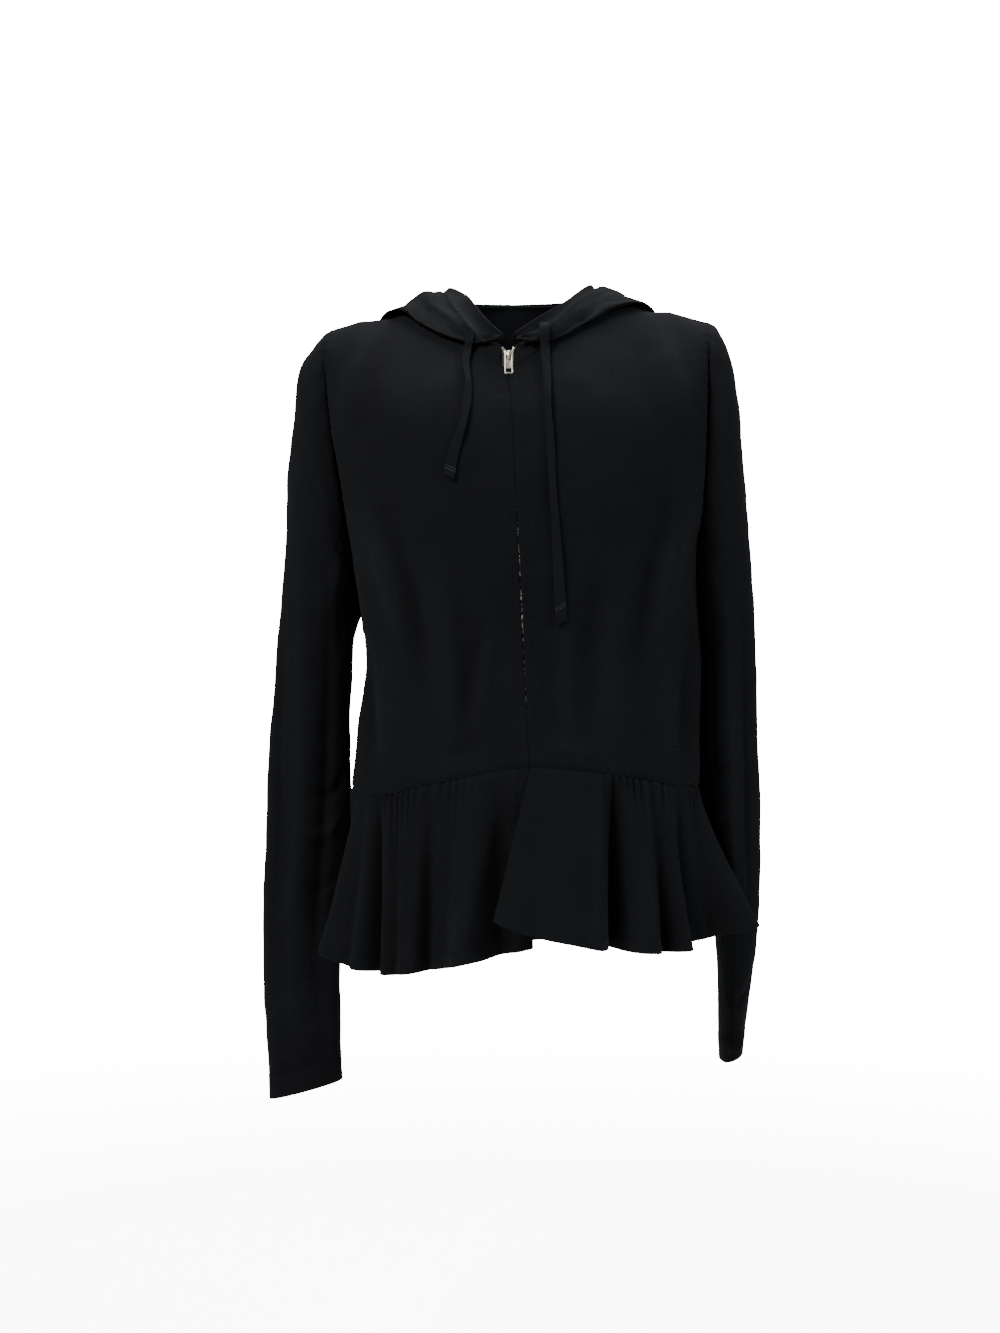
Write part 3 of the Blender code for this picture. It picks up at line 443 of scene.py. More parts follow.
# %% Curves
def spline(knots, values, at):
    """Smooth curve through values at knots: Catmull-Rom with one-sided ends."""
    knots = np.asarray(knots, float)
    values = np.asarray(values, float)
    at = np.clip(np.asarray(at, float), knots[0], knots[-1])
    slopes = np.gradient(values, knots, axis=0)
    i = np.clip(np.searchsorted(knots, at, side="right") - 1, 0, len(knots) - 2)
    span = knots[i + 1] - knots[i]
    f = (at - knots[i]) / span
    shape = (-1,) + (1,) * (values.ndim - 1)
    f, span = f.reshape(shape), span.reshape(shape)
    rise = (2 * f**3 - 3 * f**2 + 1) * values[i] + (3 * f**2 - 2 * f**3) * values[i + 1]
    bend = (f**3 - 2 * f**2 + f) * slopes[i] + (f**3 - f**2) * slopes[i + 1]
    return rise + bend * span


def through(points, count):
    """count points at even distances on a smooth curve through points."""
    points = np.asarray(points, float)
    steps = np.linalg.norm(np.diff(points, axis=0), axis=1)
    knots = np.concatenate([[0.0], np.cumsum(steps)])
    fine = spline(knots, points, np.linspace(0, knots[-1], 20 * len(points)))
    run = np.concatenate([[0.0], np.cumsum(np.linalg.norm(np.diff(fine, axis=0), axis=1))])
    even = np.linspace(0, run[-1], count)
    return np.column_stack([np.interp(even, run, fine[:, k]) for k in range(3)])


def power(value, square):
    """A superellipse's sine or cosine: rounder than a circle's where square is over 2."""
    return math.copysign(abs(value) ** (2.0 / square), value)


def zip_x(z):
    """The zip line leans a little: its x at height z."""
    share = (z - ZIP_TOP[1]) / (ZIP_END[1] - ZIP_TOP[1])
    return ZIP_TOP[0] + (ZIP_END[0] - ZIP_TOP[0]) * share


def armhole(side, angle, forward):
    """A point of the armhole's edge: angle 0 at the shoulder tip, pi at the underarm."""
    tip = np.array(SHOULDER_TIP[side])
    ring = BODY_RINGS[-1]
    pit = np.array((ring[2] if side == LEFT else ring[1], 0.0, UNDERARM_Z))
    point = (tip + pit) / 2 + (tip - pit) / 2 * math.cos(angle)
    point[1] += (-1 if forward else 1) * ARMHOLE_DEPTH * math.sin(angle)
    return point


def arc(centre, side_point, share, turn, square):
    """A row across half a panel, from the centre line to the panel's side edge."""
    angle = share * math.radians(turn)
    end = math.radians(turn)
    across = power(math.sin(angle), square) / power(math.sin(end), square)
    low = power(math.cos(end), square) if turn < 89.9 else 0.0
    inward = (power(max(math.cos(angle), 0.0), square) - low) / (1 - low)
    x = centre[0] + (side_point[0] - centre[0]) * across
    y = side_point[1] + (centre[1] - side_point[1]) * inward
    z = centre[2] + (side_point[2] - centre[2]) * share
    return np.array((x, y, z))


def top_edge(side, share, forward):
    """A point of a panel's top edge: the neckline, then the shoulder seam."""
    start = np.array(V_POINT if forward else NAPE)
    neck = np.array(NECK_POINT[side])
    tip = np.array(SHOULDER_TIP[side])
    if share < NECK_SHARE:
        f = share / NECK_SHARE
        bow = math.sin(f * math.pi / 2)
        rise = 1 - math.cos(f * math.pi / 2)
        if forward:
            return start + (neck - start) * np.array((f**0.85, f**1.25, f))
        return start + (neck - start) * np.array((bow, rise, rise))
    f = (share - NECK_SHARE) / (1 - NECK_SHARE)
    return neck + (tip - neck) * f


def yoke_edge(side, share, forward):
    """The row where the cloth has come down from the shoulder seam by the yoke's width."""
    top = top_edge(side, share, forward)
    sign = -1 if forward else 1
    angle = math.asin(YOKE / ARMHOLE_DEPTH)
    drop_tip = SHOULDER_TIP[side][2] - armhole(side, angle, forward)[2]
    shift_tip = armhole(side, angle, forward)[0] - SHOULDER_TIP[side][0]
    f = max(0.0, (share - NECK_SHARE) / (1 - NECK_SHARE))
    in_neck = max(0.0, 1 - share / NECK_SHARE)
    out = YOKE * (1 - 0.72 * in_neck)
    drop = YOKE_DROP + (drop_tip - YOKE_DROP) * f + 0.016 * in_neck
    return top + np.array((shift_tip * f, sign * out, -drop))


def panel_rows(side, shares, forward):
    """The panel's key rows, hem to top, each with a point for every share across."""
    rows = []
    hem_shares = [row[0] for row in HEM_LINE]
    hem_heights = [row[1 if side == RIGHT else 2] for row in HEM_LINE]
    middle = zip_x if forward else (lambda z: NAPE[0] + 0.010 * min(1.0, -z / 0.2))
    for number, (z, right, left, front, back, square) in enumerate(BODY_RINGS[:-1]):
        row = []
        for share in shares:
            level = z
            if number == 0 and forward:
                level = float(spline(hem_shares, hem_heights, [share])[0])
            centre = (middle(level), -front if forward else back, level)
            row.append(arc(centre, (left if side == LEFT else right, 0.0, level), share, 90, square))
        rows.append(row)
    for up, front_y, front_z, back_y, back_z, turn in CHEST_ROWS:
        z = front_z if forward else back_z
        centre = (middle(z), front_y if forward else back_y, z)
        edge = armhole(side, math.pi * (1 - up), forward)
        rows.append([arc(centre, edge, share, turn, 2.4) for share in shares])
    rows.append([yoke_edge(side, share, forward) for share in shares])
    rows.append([top_edge(side, share, forward) for share in shares])
    return np.array(rows)


ROW_KNOTS = [0.0, 0.13, 0.28, 0.48, 0.64, 0.80, 0.94, 1.0]   # share of the panel's height of each row


def panel(side, shares, heights, forward):
    """Points of a body panel's middle surface: [height][share][xyz]."""
    points = spline(ROW_KNOTS, panel_rows(side, shares, forward), heights)
    depth = points[..., 1]
    if forward:
        points[..., 1] = np.minimum(depth, 0.0) - PANEL_SHIFT
    else:
        points[..., 1] = np.maximum(depth, 0.0) + PANEL_SHIFT
    return points


def eased(share):
    """A share from 0 to 1 that starts and ends gently."""
    return share * share * (3 - 2 * share)


def shouldered(points):
    """Raises the cloth over the shoulders. Every panel uses it, so seams stay together."""
    points = points.copy()
    rise = np.zeros(points.shape[:-1])
    for side, rows in SHOULDER_RISE.items():
        out, height = np.array(rows).T
        rise += np.interp(points[..., 0] * side, out, height, 0.0, 0.0)
    share = np.clip((points[..., 2] - SHOULDER_LOW) / (SHOULDER_HIGH - SHOULDER_LOW), 0, 1)
    points[..., 2] += rise * eased(share)
    return points


def surface_normals(points):
    """Directions square to a grid of points."""
    across = np.gradient(points, axis=1)
    along = np.gradient(points, axis=0)
    normals = np.cross(across, along)
    length = np.linalg.norm(normals, axis=2, keepdims=True)
    return normals / np.maximum(length, 1e-12)


def body_samples():
    """Points of the body's surface with their outward directions."""
    places, outward = [], []
    for side in (RIGHT, LEFT):
        for forward in (True, False):
            points = panel(side, np.linspace(0, 1, 33), np.linspace(0, 1, 61), forward)
            normals = surface_normals(points)
            ahead = np.sign(np.mean(normals[10:40, :8, 1]))
            normals *= -ahead if forward else ahead
            places.append(points.reshape(-1, 3))
            outward.append(normals.reshape(-1, 3))
    return np.concatenate(places), np.concatenate(outward)


def lifted(points, samples, clearance):
    """Moves points out until each is clearance away from the sampled surface."""
    places, outward = samples
    result = np.array(points, float)
    flat = result.reshape(-1, 3)
    for _ in range(3):
        for i, point in enumerate(flat):
            offsets = places - point
            near = int(np.argmin(np.einsum("ij,ij->i", offsets, offsets)))
            height = float(np.dot(point - places[near], outward[near]))
            if height < clearance:
                flat[i] = point + outward[near] * (clearance - height)
    return result


# %% [markdown]
# ## Folds in jersey
# Light jersey hangs in long soft folds, never in sharp pleats. A fold here is a bell-shaped ridge or trough
# along a drawn line, which dies away at both ends. Each panel gets its own uneven list, in the place where
# the cloth is slack or pulled, and a faint unevenness that no two places share. A cloth simulation was
# weighed up, but it can't be steered to the folds that this garment shows, and these can.

# %% Fold tools
def crease(u, v, path, width, height):
    """A soft ridge, or below zero a trough, on the plane (u, v), along a smooth line through path."""
    stops = np.column_stack([np.asarray(path, float), np.zeros(len(path))])
    line = through(stops, 26)[:, :2]
    nearest, place = np.full(u.shape, np.inf), np.zeros(u.shape)
    for k in range(len(line) - 1):
        step = line[k + 1] - line[k]
        f = np.clip(((u - line[k, 0]) * step[0] + (v - line[k, 1]) * step[1]) / (step @ step), 0, 1)
        away = (u - line[k, 0] - f * step[0]) ** 2 + (v - line[k, 1] - f * step[1]) ** 2
        closer = away < nearest
        nearest = np.where(closer, away, nearest)
        place = np.where(closer, (k + f) / (len(line) - 1), place)
    ends = np.clip(np.minimum(place, 1 - place) / 0.45, 0, 1)
    return height * eased(ends) * np.exp(-nearest / width ** 2)


def creases(u, v, rows):
    """The sum of many creases: each row is a path, a width and a height."""
    return sum(crease(u, v, *row) for row in rows)


def unevenness(points, size, seed):
    """Smooth noise over the cloth, from -1 to 1, with lumps of about the given size."""
    shift = Vector((seed * 3.7, seed * 1.3, 0.0))
    values = [noise.noise(Vector(p) / size + shift) for p in points.reshape(-1, 3)]
    return np.array(values).reshape(points.shape[:2])


def slack(points, *layers):
    """The cloth's own unevenness: a sum of layers, each a height, a size of lump and a seed."""
    return sum(height * unevenness(points, size, seed) for height, size, seed in layers)


def outward_normals(points, closed=False):
    """Directions square to the cloth. They follow the order of the grid, so the caller may flip them."""
    if closed:
        ring = np.concatenate([points[:, -2:], points, points[:, :2]], axis=1)
        return surface_normals(ring)[:, 2:-2]
    return surface_normals(points)


def crowded(count, share=0.55):
    """Places from 0 to 1 that crowd together at both ends, where seams and hems need fine cloth."""
    t = np.linspace(0, 1, count)
    return (1 - share) * t + share * (1 - np.cos(math.pi * t)) / 2


def run(points, axis):
    """Distance in metres along the rows (axis 1) or up the columns (axis 0) of a grid."""
    steps = np.linalg.norm(np.diff(points, axis=axis), axis=2)
    start = np.zeros_like(steps.take([0], axis=axis))
    return np.concatenate([start, np.cumsum(steps, axis=axis)], axis=axis)


def seam_roll(distance, depth=0.0013, reach=0.0026):
    """How far the cloth turns in at a seam, at a distance from it."""
    return -depth * np.exp(-(np.maximum(distance, 0) / reach) ** 1.6)


def pucker(distance, along, height, pitch, reach):
    """The small ripples that a seam's tension leaves beside it."""
    wobble = np.sin(along / pitch * 2 * math.pi + 1.9 * np.sin(along * 61.0))
    return height * wobble * np.exp(-distance / reach)


def stitch_groove(distance, depth, width=0.0011):
    """How far a line of stitches pulls the cloth in, at a distance from it."""
    return -depth * np.exp(-(distance / width) ** 2)


# %% [markdown]
# ## From a grid to a wall of cloth
# A panel is a grid of points with an outward direction at each. The wall is built from it directly: an outer
# and an inner face and a rounded rim, so a hem can be thicker than the rest. The grid's own lengths in
# metres are kept as the cloth's map, which the knit follows, and the height of the folds as an attribute.
# That
# height is painted into the colour: lighter on ridges, as wear and painted light, and darker in troughs, as
# painted shade.

# %% Wall builder
JERSEY_WALL = 0.0010          # metres
RIM_ROUND = 0.45              # how far the rim stands out, as a share of the wall
RIM_WORN = 0.9                # how faded the rims are, where 0.5 is flat cloth and 1 the highest ridge
# a ridge this high is painted lightest, and a trough this deep darkest as painted shade
WEAR_AND_SHADE_HEIGHT = 0.006           # a ridge this high is faded the most
garment_pieces = {}
surfaces, outward = {}, {}    # each panel's finished middle points and the directions out of it


def cloth_fields(mesh, flat, wear_and_crease_shade):
    """Keeps each point's place on the flat cloth in metres, and its wear with painted light and shade."""
    corners = np.empty(len(mesh.loops), np.int32)
    mesh.loops.foreach_get("vertex_index", corners)
    mesh.uv_layers.new(name="cloth_m").data.foreach_set("uv", flat[corners].ravel())
    ridge = mesh.attributes.new("ridge", "FLOAT", "POINT")
    ridge.data.foreach_set("value", wear_and_crease_shade.astype(np.float32))


def border_loops(rows, columns, closed):
    """The places (row, column) along the edge of a grid, or along the two edges of a closed one."""
    if closed:
        return [[(i, j) for j in range(columns)] for i in (0, rows - 1)]
    return [[(0, j) for j in range(columns - 1)]
            + [(i, columns - 1) for i in range(rows - 1)]
            + [(rows - 1, j) for j in range(columns - 1, 0, -1)]
            + [(i, 0) for i in range(rows - 1, 0, -1)]]


def wall_of_cloth(name, points, ways, thickness=JERSEY_WALL, closed=False, relief=None):
    """A closed wall round a grid of middle points. closed joins the last column to the first."""
    rows, columns = points.shape[:2]
    half = np.broadcast_to(np.asarray(thickness, float) / 2, (rows, columns))[..., None]
    grid = np.arange(rows * columns).reshape(rows, columns)
    right = np.roll(grid, -1, axis=1) if closed else grid[:, 1:]
    left = grid if closed else grid[:, :-1]
    quads = np.stack([left[:-1], right[:-1], right[1:], left[1:]], axis=-1).reshape(-1, 4)
    corner = points.reshape(-1, 3)
    across = corner[quads[:, 1]] - corner[quads[:, 0]]
    along = corner[quads[:, 3]] - corner[quads[:, 0]]
    facing = np.einsum("ij,ij->i", np.cross(across, along), ways.reshape(-1, 3)[quads[:, 0]]).sum()
    if facing < 0:
        quads = quads[:, ::-1]
    count = rows * columns
    faces, rims, used = [quads, quads[:, ::-1] + count], [], 2 * count
    edges = set(zip(quads.ravel().tolist(), np.roll(quads, -1, axis=1).ravel().tolist()))
    loops = border_loops(rows, columns, closed)
    for places in loops:
        spot = np.array(places)
        inside = np.column_stack([np.clip(spot[:, 0], 1, rows - 2),
                                  spot[:, 1] if closed else np.clip(spot[:, 1], 1, columns - 2)])
        here, back = points[spot[:, 0], spot[:, 1]], points[inside[:, 0], inside[:, 1]]
        away = here - back
        away /= np.maximum(np.linalg.norm(away, axis=1, keepdims=True), 1e-9)
        rims.append(here + away * half[spot[:, 0], spot[:, 1]] * 2 * RIM_ROUND)
        edge = grid[spot[:, 0], spot[:, 1]]
        rim = used + np.arange(len(places))
        used += len(places)
        next_edge, next_rim = np.roll(edge, -1), np.roll(rim, -1)
        strips = [np.stack([edge, rim, next_rim, next_edge], axis=-1),
                  np.stack([rim, edge + count, next_edge + count, next_rim], axis=-1)]
        if (int(edge[0]), int(next_edge[0])) not in edges:
            strips = [strip[:, ::-1] for strip in strips]
        faces += strips
    faces = np.concatenate(faces)
    outer, inner = (points + ways * half).reshape(-1, 3), (points - ways * half).reshape(-1, 3)
    every = np.concatenate([outer, inner, *rims])
    mesh = bpy.data.meshes.new(name)
    mesh.from_pydata(every.tolist(), [], faces.tolist())
    mesh.update()
    mesh.shade_smooth()
    flat = np.stack([run(points, 1), run(points, 0)], axis=-1).reshape(-1, 2)
    rim_flat = np.concatenate([flat[grid[tuple(np.array(places).T)]] for places in loops])
    height = np.zeros((rows, columns)) if relief is None else relief
    # lighter on ridges (wear and painted light), darker in troughs (painted shade); rims as worn edges
    wear_and_crease_shade = np.clip(height / WEAR_AND_SHADE_HEIGHT, -1, 1).ravel() * 0.5 + 0.5
    wear_and_crease_shade = np.concatenate([wear_and_crease_shade, wear_and_crease_shade, np.full(len(rim_flat), RIM_WORN)])
    cloth_fields(mesh, np.concatenate([flat, flat, rim_flat]), wear_and_crease_shade)
    mesh.materials.append(jersey)
    garment_pieces[name] = placed(name, mesh)
    area = np.linalg.norm(np.cross(across, along), axis=1).sum()
    print(f"{name}: {len(faces) * 2} triangles, {area:.4f} m2")


def sewn_panel(name, base, square, folds, rolls, wall=JERSEY_WALL, closed=False):
    """Moves a panel's points out by its folds and in at its seams, keeps them, and builds its wall."""
    surfaces[name], outward[name] = base + square * (folds + rolls)[..., None], square
    wall_of_cloth(f"jersey_{name}", surfaces[name], square, wall, closed, folds)


# %% [markdown]
# ## Fronts and back
# Each front is one panel from the zip to the side seam, with the shoulder seam and half the neckline at its
# top. Jersey hangs from the shoulder and the bust, so its folds start slack under the arm and fall towards
# the waist. The zip edge stays quiet, because the tape stiffens it.

# %% Fronts
FRONT_GRID, BACK_GRID = (170, 88), (150, 165)      # points up and across
QUIET_AT_ZIP = 0.016                               # metres beside the zip where folds have died away
TOPSTITCH = 0.0055                                 # metres from the zip edge to its line of stitches
THICK_HEM = JERSEY_WALL * 1.6                      # the wall where cloth is turned in and sewn down


def zip_clear(z):
    """How far a front's edge stands from the zip's middle: a little wider at mid-chest and at the slider."""
    wide = np.clip((z - SLIDER_LOW) / SLIDER_RUN + 1, 0, 1)
    gape = np.exp(-((z + 0.240) / 0.070) ** 2)
    return ZIP_CLEAR + ZIP_GAPE * gape + (SLIDER_OPEN - ZIP_CLEAR) * eased(wide)


def front_surface(side, shares, heights):
    """A front's middle surface, with its edge drawn back from the zip."""
    points = panel(side, shares, heights, True)
    fade = np.clip(1 - shares / 0.25, 0, 1)
    for row in points:
        row[:, 0] += side * float(zip_clear(row[0][2])) * fade
    return points


FRONT_FOLDS = {
    RIGHT: [  # path of (x, z), width, height
        ([(-0.136, -0.135), (-0.116, -0.180), (-0.098, -0.235), (-0.090, -0.320)], 0.0100, 0.0042),
        ([(-0.122, -0.130), (-0.100, -0.180), (-0.082, -0.240), (-0.072, -0.330)], 0.0075, -0.0036),
        ([(-0.074, -0.160), (-0.062, -0.225), (-0.056, -0.300), (-0.060, -0.400)], 0.0110, 0.0034),
        ([(-0.050, -0.190), (-0.043, -0.255), (-0.040, -0.330), (-0.046, -0.400)], 0.0070, -0.0026),
        ([(-0.014, -0.235), (-0.019, -0.272), (-0.027, -0.320), (-0.034, -0.372)], 0.0065, 0.0026),
        ([(-0.024, -0.240), (-0.031, -0.285), (-0.040, -0.330)], 0.0055, -0.0018),
        ([(-0.131, -0.225), (-0.124, -0.290), (-0.120, -0.350), (-0.124, -0.410)], 0.0080, -0.0034),
        ([(-0.115, -0.250), (-0.107, -0.310), (-0.104, -0.360), (-0.108, -0.410)], 0.0085, 0.0034),
        ([(-0.100, 0.012), (-0.112, -0.030), (-0.122, -0.080), (-0.135, -0.120)], 0.0110, -0.0022),
        ([(-0.118, 0.006), (-0.130, -0.035), (-0.141, -0.080), (-0.150, -0.120)], 0.0090, 0.0024),
        ([(-0.048, -0.030), (-0.060, -0.065), (-0.078, -0.095)], 0.0120, 0.0016),
        ([(-0.132, -0.172), (-0.104, -0.166), (-0.078, -0.140)], 0.0120, -0.0010),
        ([(-0.128, -0.200), (-0.097, -0.206), (-0.070, -0.190)], 0.0120, 0.0010),
        ([(-0.012, -0.345), (-0.040, -0.360), (-0.075, -0.366)], 0.0060, -0.0014),
        ([(-0.010, -0.120), (-0.034, -0.134), (-0.055, -0.160)], 0.0110, -0.0012),
    ],
    LEFT: [
        ([(0.155, -0.120), (0.139, -0.175), (0.126, -0.240), (0.120, -0.330)], 0.0095, 0.0044),
        ([(0.141, -0.120), (0.124, -0.178), (0.109, -0.245), (0.101, -0.340)], 0.0080, -0.0034),
        ([(0.098, -0.170), (0.087, -0.235), (0.080, -0.305), (0.083, -0.400)], 0.0115, 0.0030),
        ([(0.072, -0.185), (0.064, -0.250), (0.060, -0.330), (0.064, -0.400)], 0.0075, -0.0026),
        ([(0.047, -0.215), (0.043, -0.275), (0.045, -0.345), (0.050, -0.392)], 0.0090, 0.0024),
        ([(0.028, -0.270), (0.026, -0.315), (0.029, -0.365)], 0.0060, -0.0014),
        ([(0.152, -0.230), (0.147, -0.300), (0.144, -0.350), (0.147, -0.410)], 0.0080, -0.0034),
        ([(0.137, -0.250), (0.131, -0.315), (0.129, -0.360), (0.131, -0.410)], 0.0080, 0.0030),
        ([(0.096, 0.020), (0.106, -0.025), (0.117, -0.075), (0.132, -0.115)], 0.0120, -0.0024),
        ([(0.120, 0.016), (0.131, -0.030), (0.143, -0.080), (0.156, -0.118)], 0.0085, 0.0026),
        ([(0.050, -0.028), (0.062, -0.066), (0.082, -0.098)], 0.0110, 0.0014),
        ([(0.154, -0.168), (0.126, -0.160), (0.096, -0.135)], 0.0120, -0.0011),
        ([(0.152, -0.196), (0.122, -0.200), (0.092, -0.184)], 0.0120, 0.0010),
        ([(0.020, -0.350), (0.050, -0.362), (0.085, -0.364)], 0.0060, 0.0014),
        ([(0.006, -0.130), (0.028, -0.142), (0.050, -0.166)], 0.0120, -0.0012),
    ],
}
for side, name in ((RIGHT, "front_right"), (LEFT, "front_left")):
    base = shouldered(front_surface(side, crowded(FRONT_GRID[1]), crowded(FRONT_GRID[0], 0.4)))
    square = outward_normals(base)
    square *= -np.sign(square[60:100, :20, 1].mean())
    from_zip, from_hem = run(base, 1), run(base, 0)
    from_side = from_zip[:, -1:] - from_zip
    from_top = from_hem[-1:] - from_hem
    quiet = np.clip((from_zip - 0.004) / QUIET_AT_ZIP, 0, 1)
    folds = creases(base[..., 0], base[..., 2], FRONT_FOLDS[side]) * 1.15
    folds += slack(base, (0.0013, 0.062, side + 3), (0.0005, 0.020, side + 5))
    folds *= eased(quiet)
    folds += pucker(from_side, base[..., 2], 0.00035, 0.0085, 0.006)
    folds += pucker(from_hem, base[..., 0], 0.00045, 0.0070, 0.005)
    folds += pucker(np.abs(from_zip - TOPSTITCH), base[..., 2], 0.00022, 0.0105, 0.003)
    rolls = seam_roll(from_side) + seam_roll(from_hem) + seam_roll(from_top)
    rolls += stitch_groove(from_zip - TOPSTITCH, 0.0004)
    wall = np.where(from_zip < TOPSTITCH + 0.0008, THICK_HEM, JERSEY_WALL)
    sewn_panel(name, base, square, folds, rolls, wall)

# %% [markdown]
# The back is one piece. Nobody sees its folds from the front, so it gets the kind that such a back has: long
# flutes from the shoulder blades to the waist, uneven, and slack under each arm.

# %% Back
BACK_FOLDS = [
    ([(-0.130, -0.130), (-0.112, -0.185), (-0.098, -0.250), (-0.094, -0.340)], 0.0100, 0.0042),
    ([(-0.115, -0.120), (-0.094, -0.185), (-0.080, -0.255), (-0.076, -0.350)], 0.0080, -0.0034),
    ([(-0.070, -0.120), (-0.058, -0.200), (-0.052, -0.290), (-0.056, -0.400)], 0.0120, 0.0034),
    ([(-0.036, -0.150), (-0.030, -0.240), (-0.028, -0.320), (-0.032, -0.400)], 0.0080, -0.0028),
    ([(-0.008, -0.110), (-0.004, -0.200), (0.000, -0.300), (-0.002, -0.400)], 0.0110, 0.0026),
    ([(0.024, -0.140), (0.026, -0.225), (0.030, -0.310), (0.026, -0.400)], 0.0075, -0.0024),
    ([(0.060, -0.115), (0.060, -0.200), (0.057, -0.300), (0.062, -0.400)], 0.0120, 0.0034),
    ([(0.096, -0.130), (0.090, -0.210), (0.086, -0.300), (0.088, -0.400)], 0.0085, -0.0034),
    ([(0.150, -0.130), (0.130, -0.190), (0.118, -0.260), (0.114, -0.350)], 0.0100, 0.0042),
    ([(0.152, -0.210), (0.146, -0.280), (0.142, -0.350), (0.146, -0.410)], 0.0080, -0.0030),
    ([(-0.126, -0.220), (-0.118, -0.300), (-0.115, -0.350), (-0.120, -0.410)], 0.0085, -0.0032),
    ([(-0.120, 0.000), (-0.126, -0.050), (-0.138, -0.100)], 0.0100, 0.0024),
    ([(0.128, 0.006), (0.134, -0.050), (0.146, -0.100)], 0.0100, 0.0024),
    ([(-0.125, -0.180), (-0.090, -0.176), (-0.060, -0.160)], 0.0080, -0.0022),
    ([(0.146, -0.176), (0.110, -0.172), (0.080, -0.158)], 0.0080, -0.0022),
    ([(-0.100, -0.352), (-0.040, -0.362), (0.030, -0.360), (0.110, -0.352)], 0.0070, 0.0018),
]
half_shares, back_heights = crowded(BACK_GRID[1] // 2 + 1), crowded(BACK_GRID[0], 0.4)
left_half = panel(LEFT, half_shares, back_heights, False)
right_half = panel(RIGHT, half_shares, back_heights, False)
base = shouldered(np.concatenate([right_half[:, :0:-1], left_half], axis=1))
square = outward_normals(base)
square *= np.sign(square[60:100, 70:95, 1].mean())
from_right, from_hem = run(base, 1), run(base, 0)
from_left = from_right[:, -1:] - from_right
from_top = from_hem[-1:] - from_hem
folds = creases(base[..., 0], base[..., 2], BACK_FOLDS) * 1.25
folds += slack(base, (0.0013, 0.062, 11), (0.0005, 0.020, 12))
folds += pucker(np.minimum(from_left, from_right), base[..., 2], 0.00035, 0.0085, 0.006)
folds += pucker(from_hem, base[..., 0], 0.00045, 0.0070, 0.005)
rolls = seam_roll(from_right) + seam_roll(from_left) + seam_roll(from_hem) + seam_roll(from_top)
sewn_panel("back", base, square, folds, rolls)

# %% [markdown]
# ## Sleeves
# An empty sleeve hangs as a flat tube. It folds lengthwise where it has no arm to fill it, breaks a little at
# the elbow, and crumples above the cuff. Its top is eased into the armhole, so the
# crown is slightly puckered.

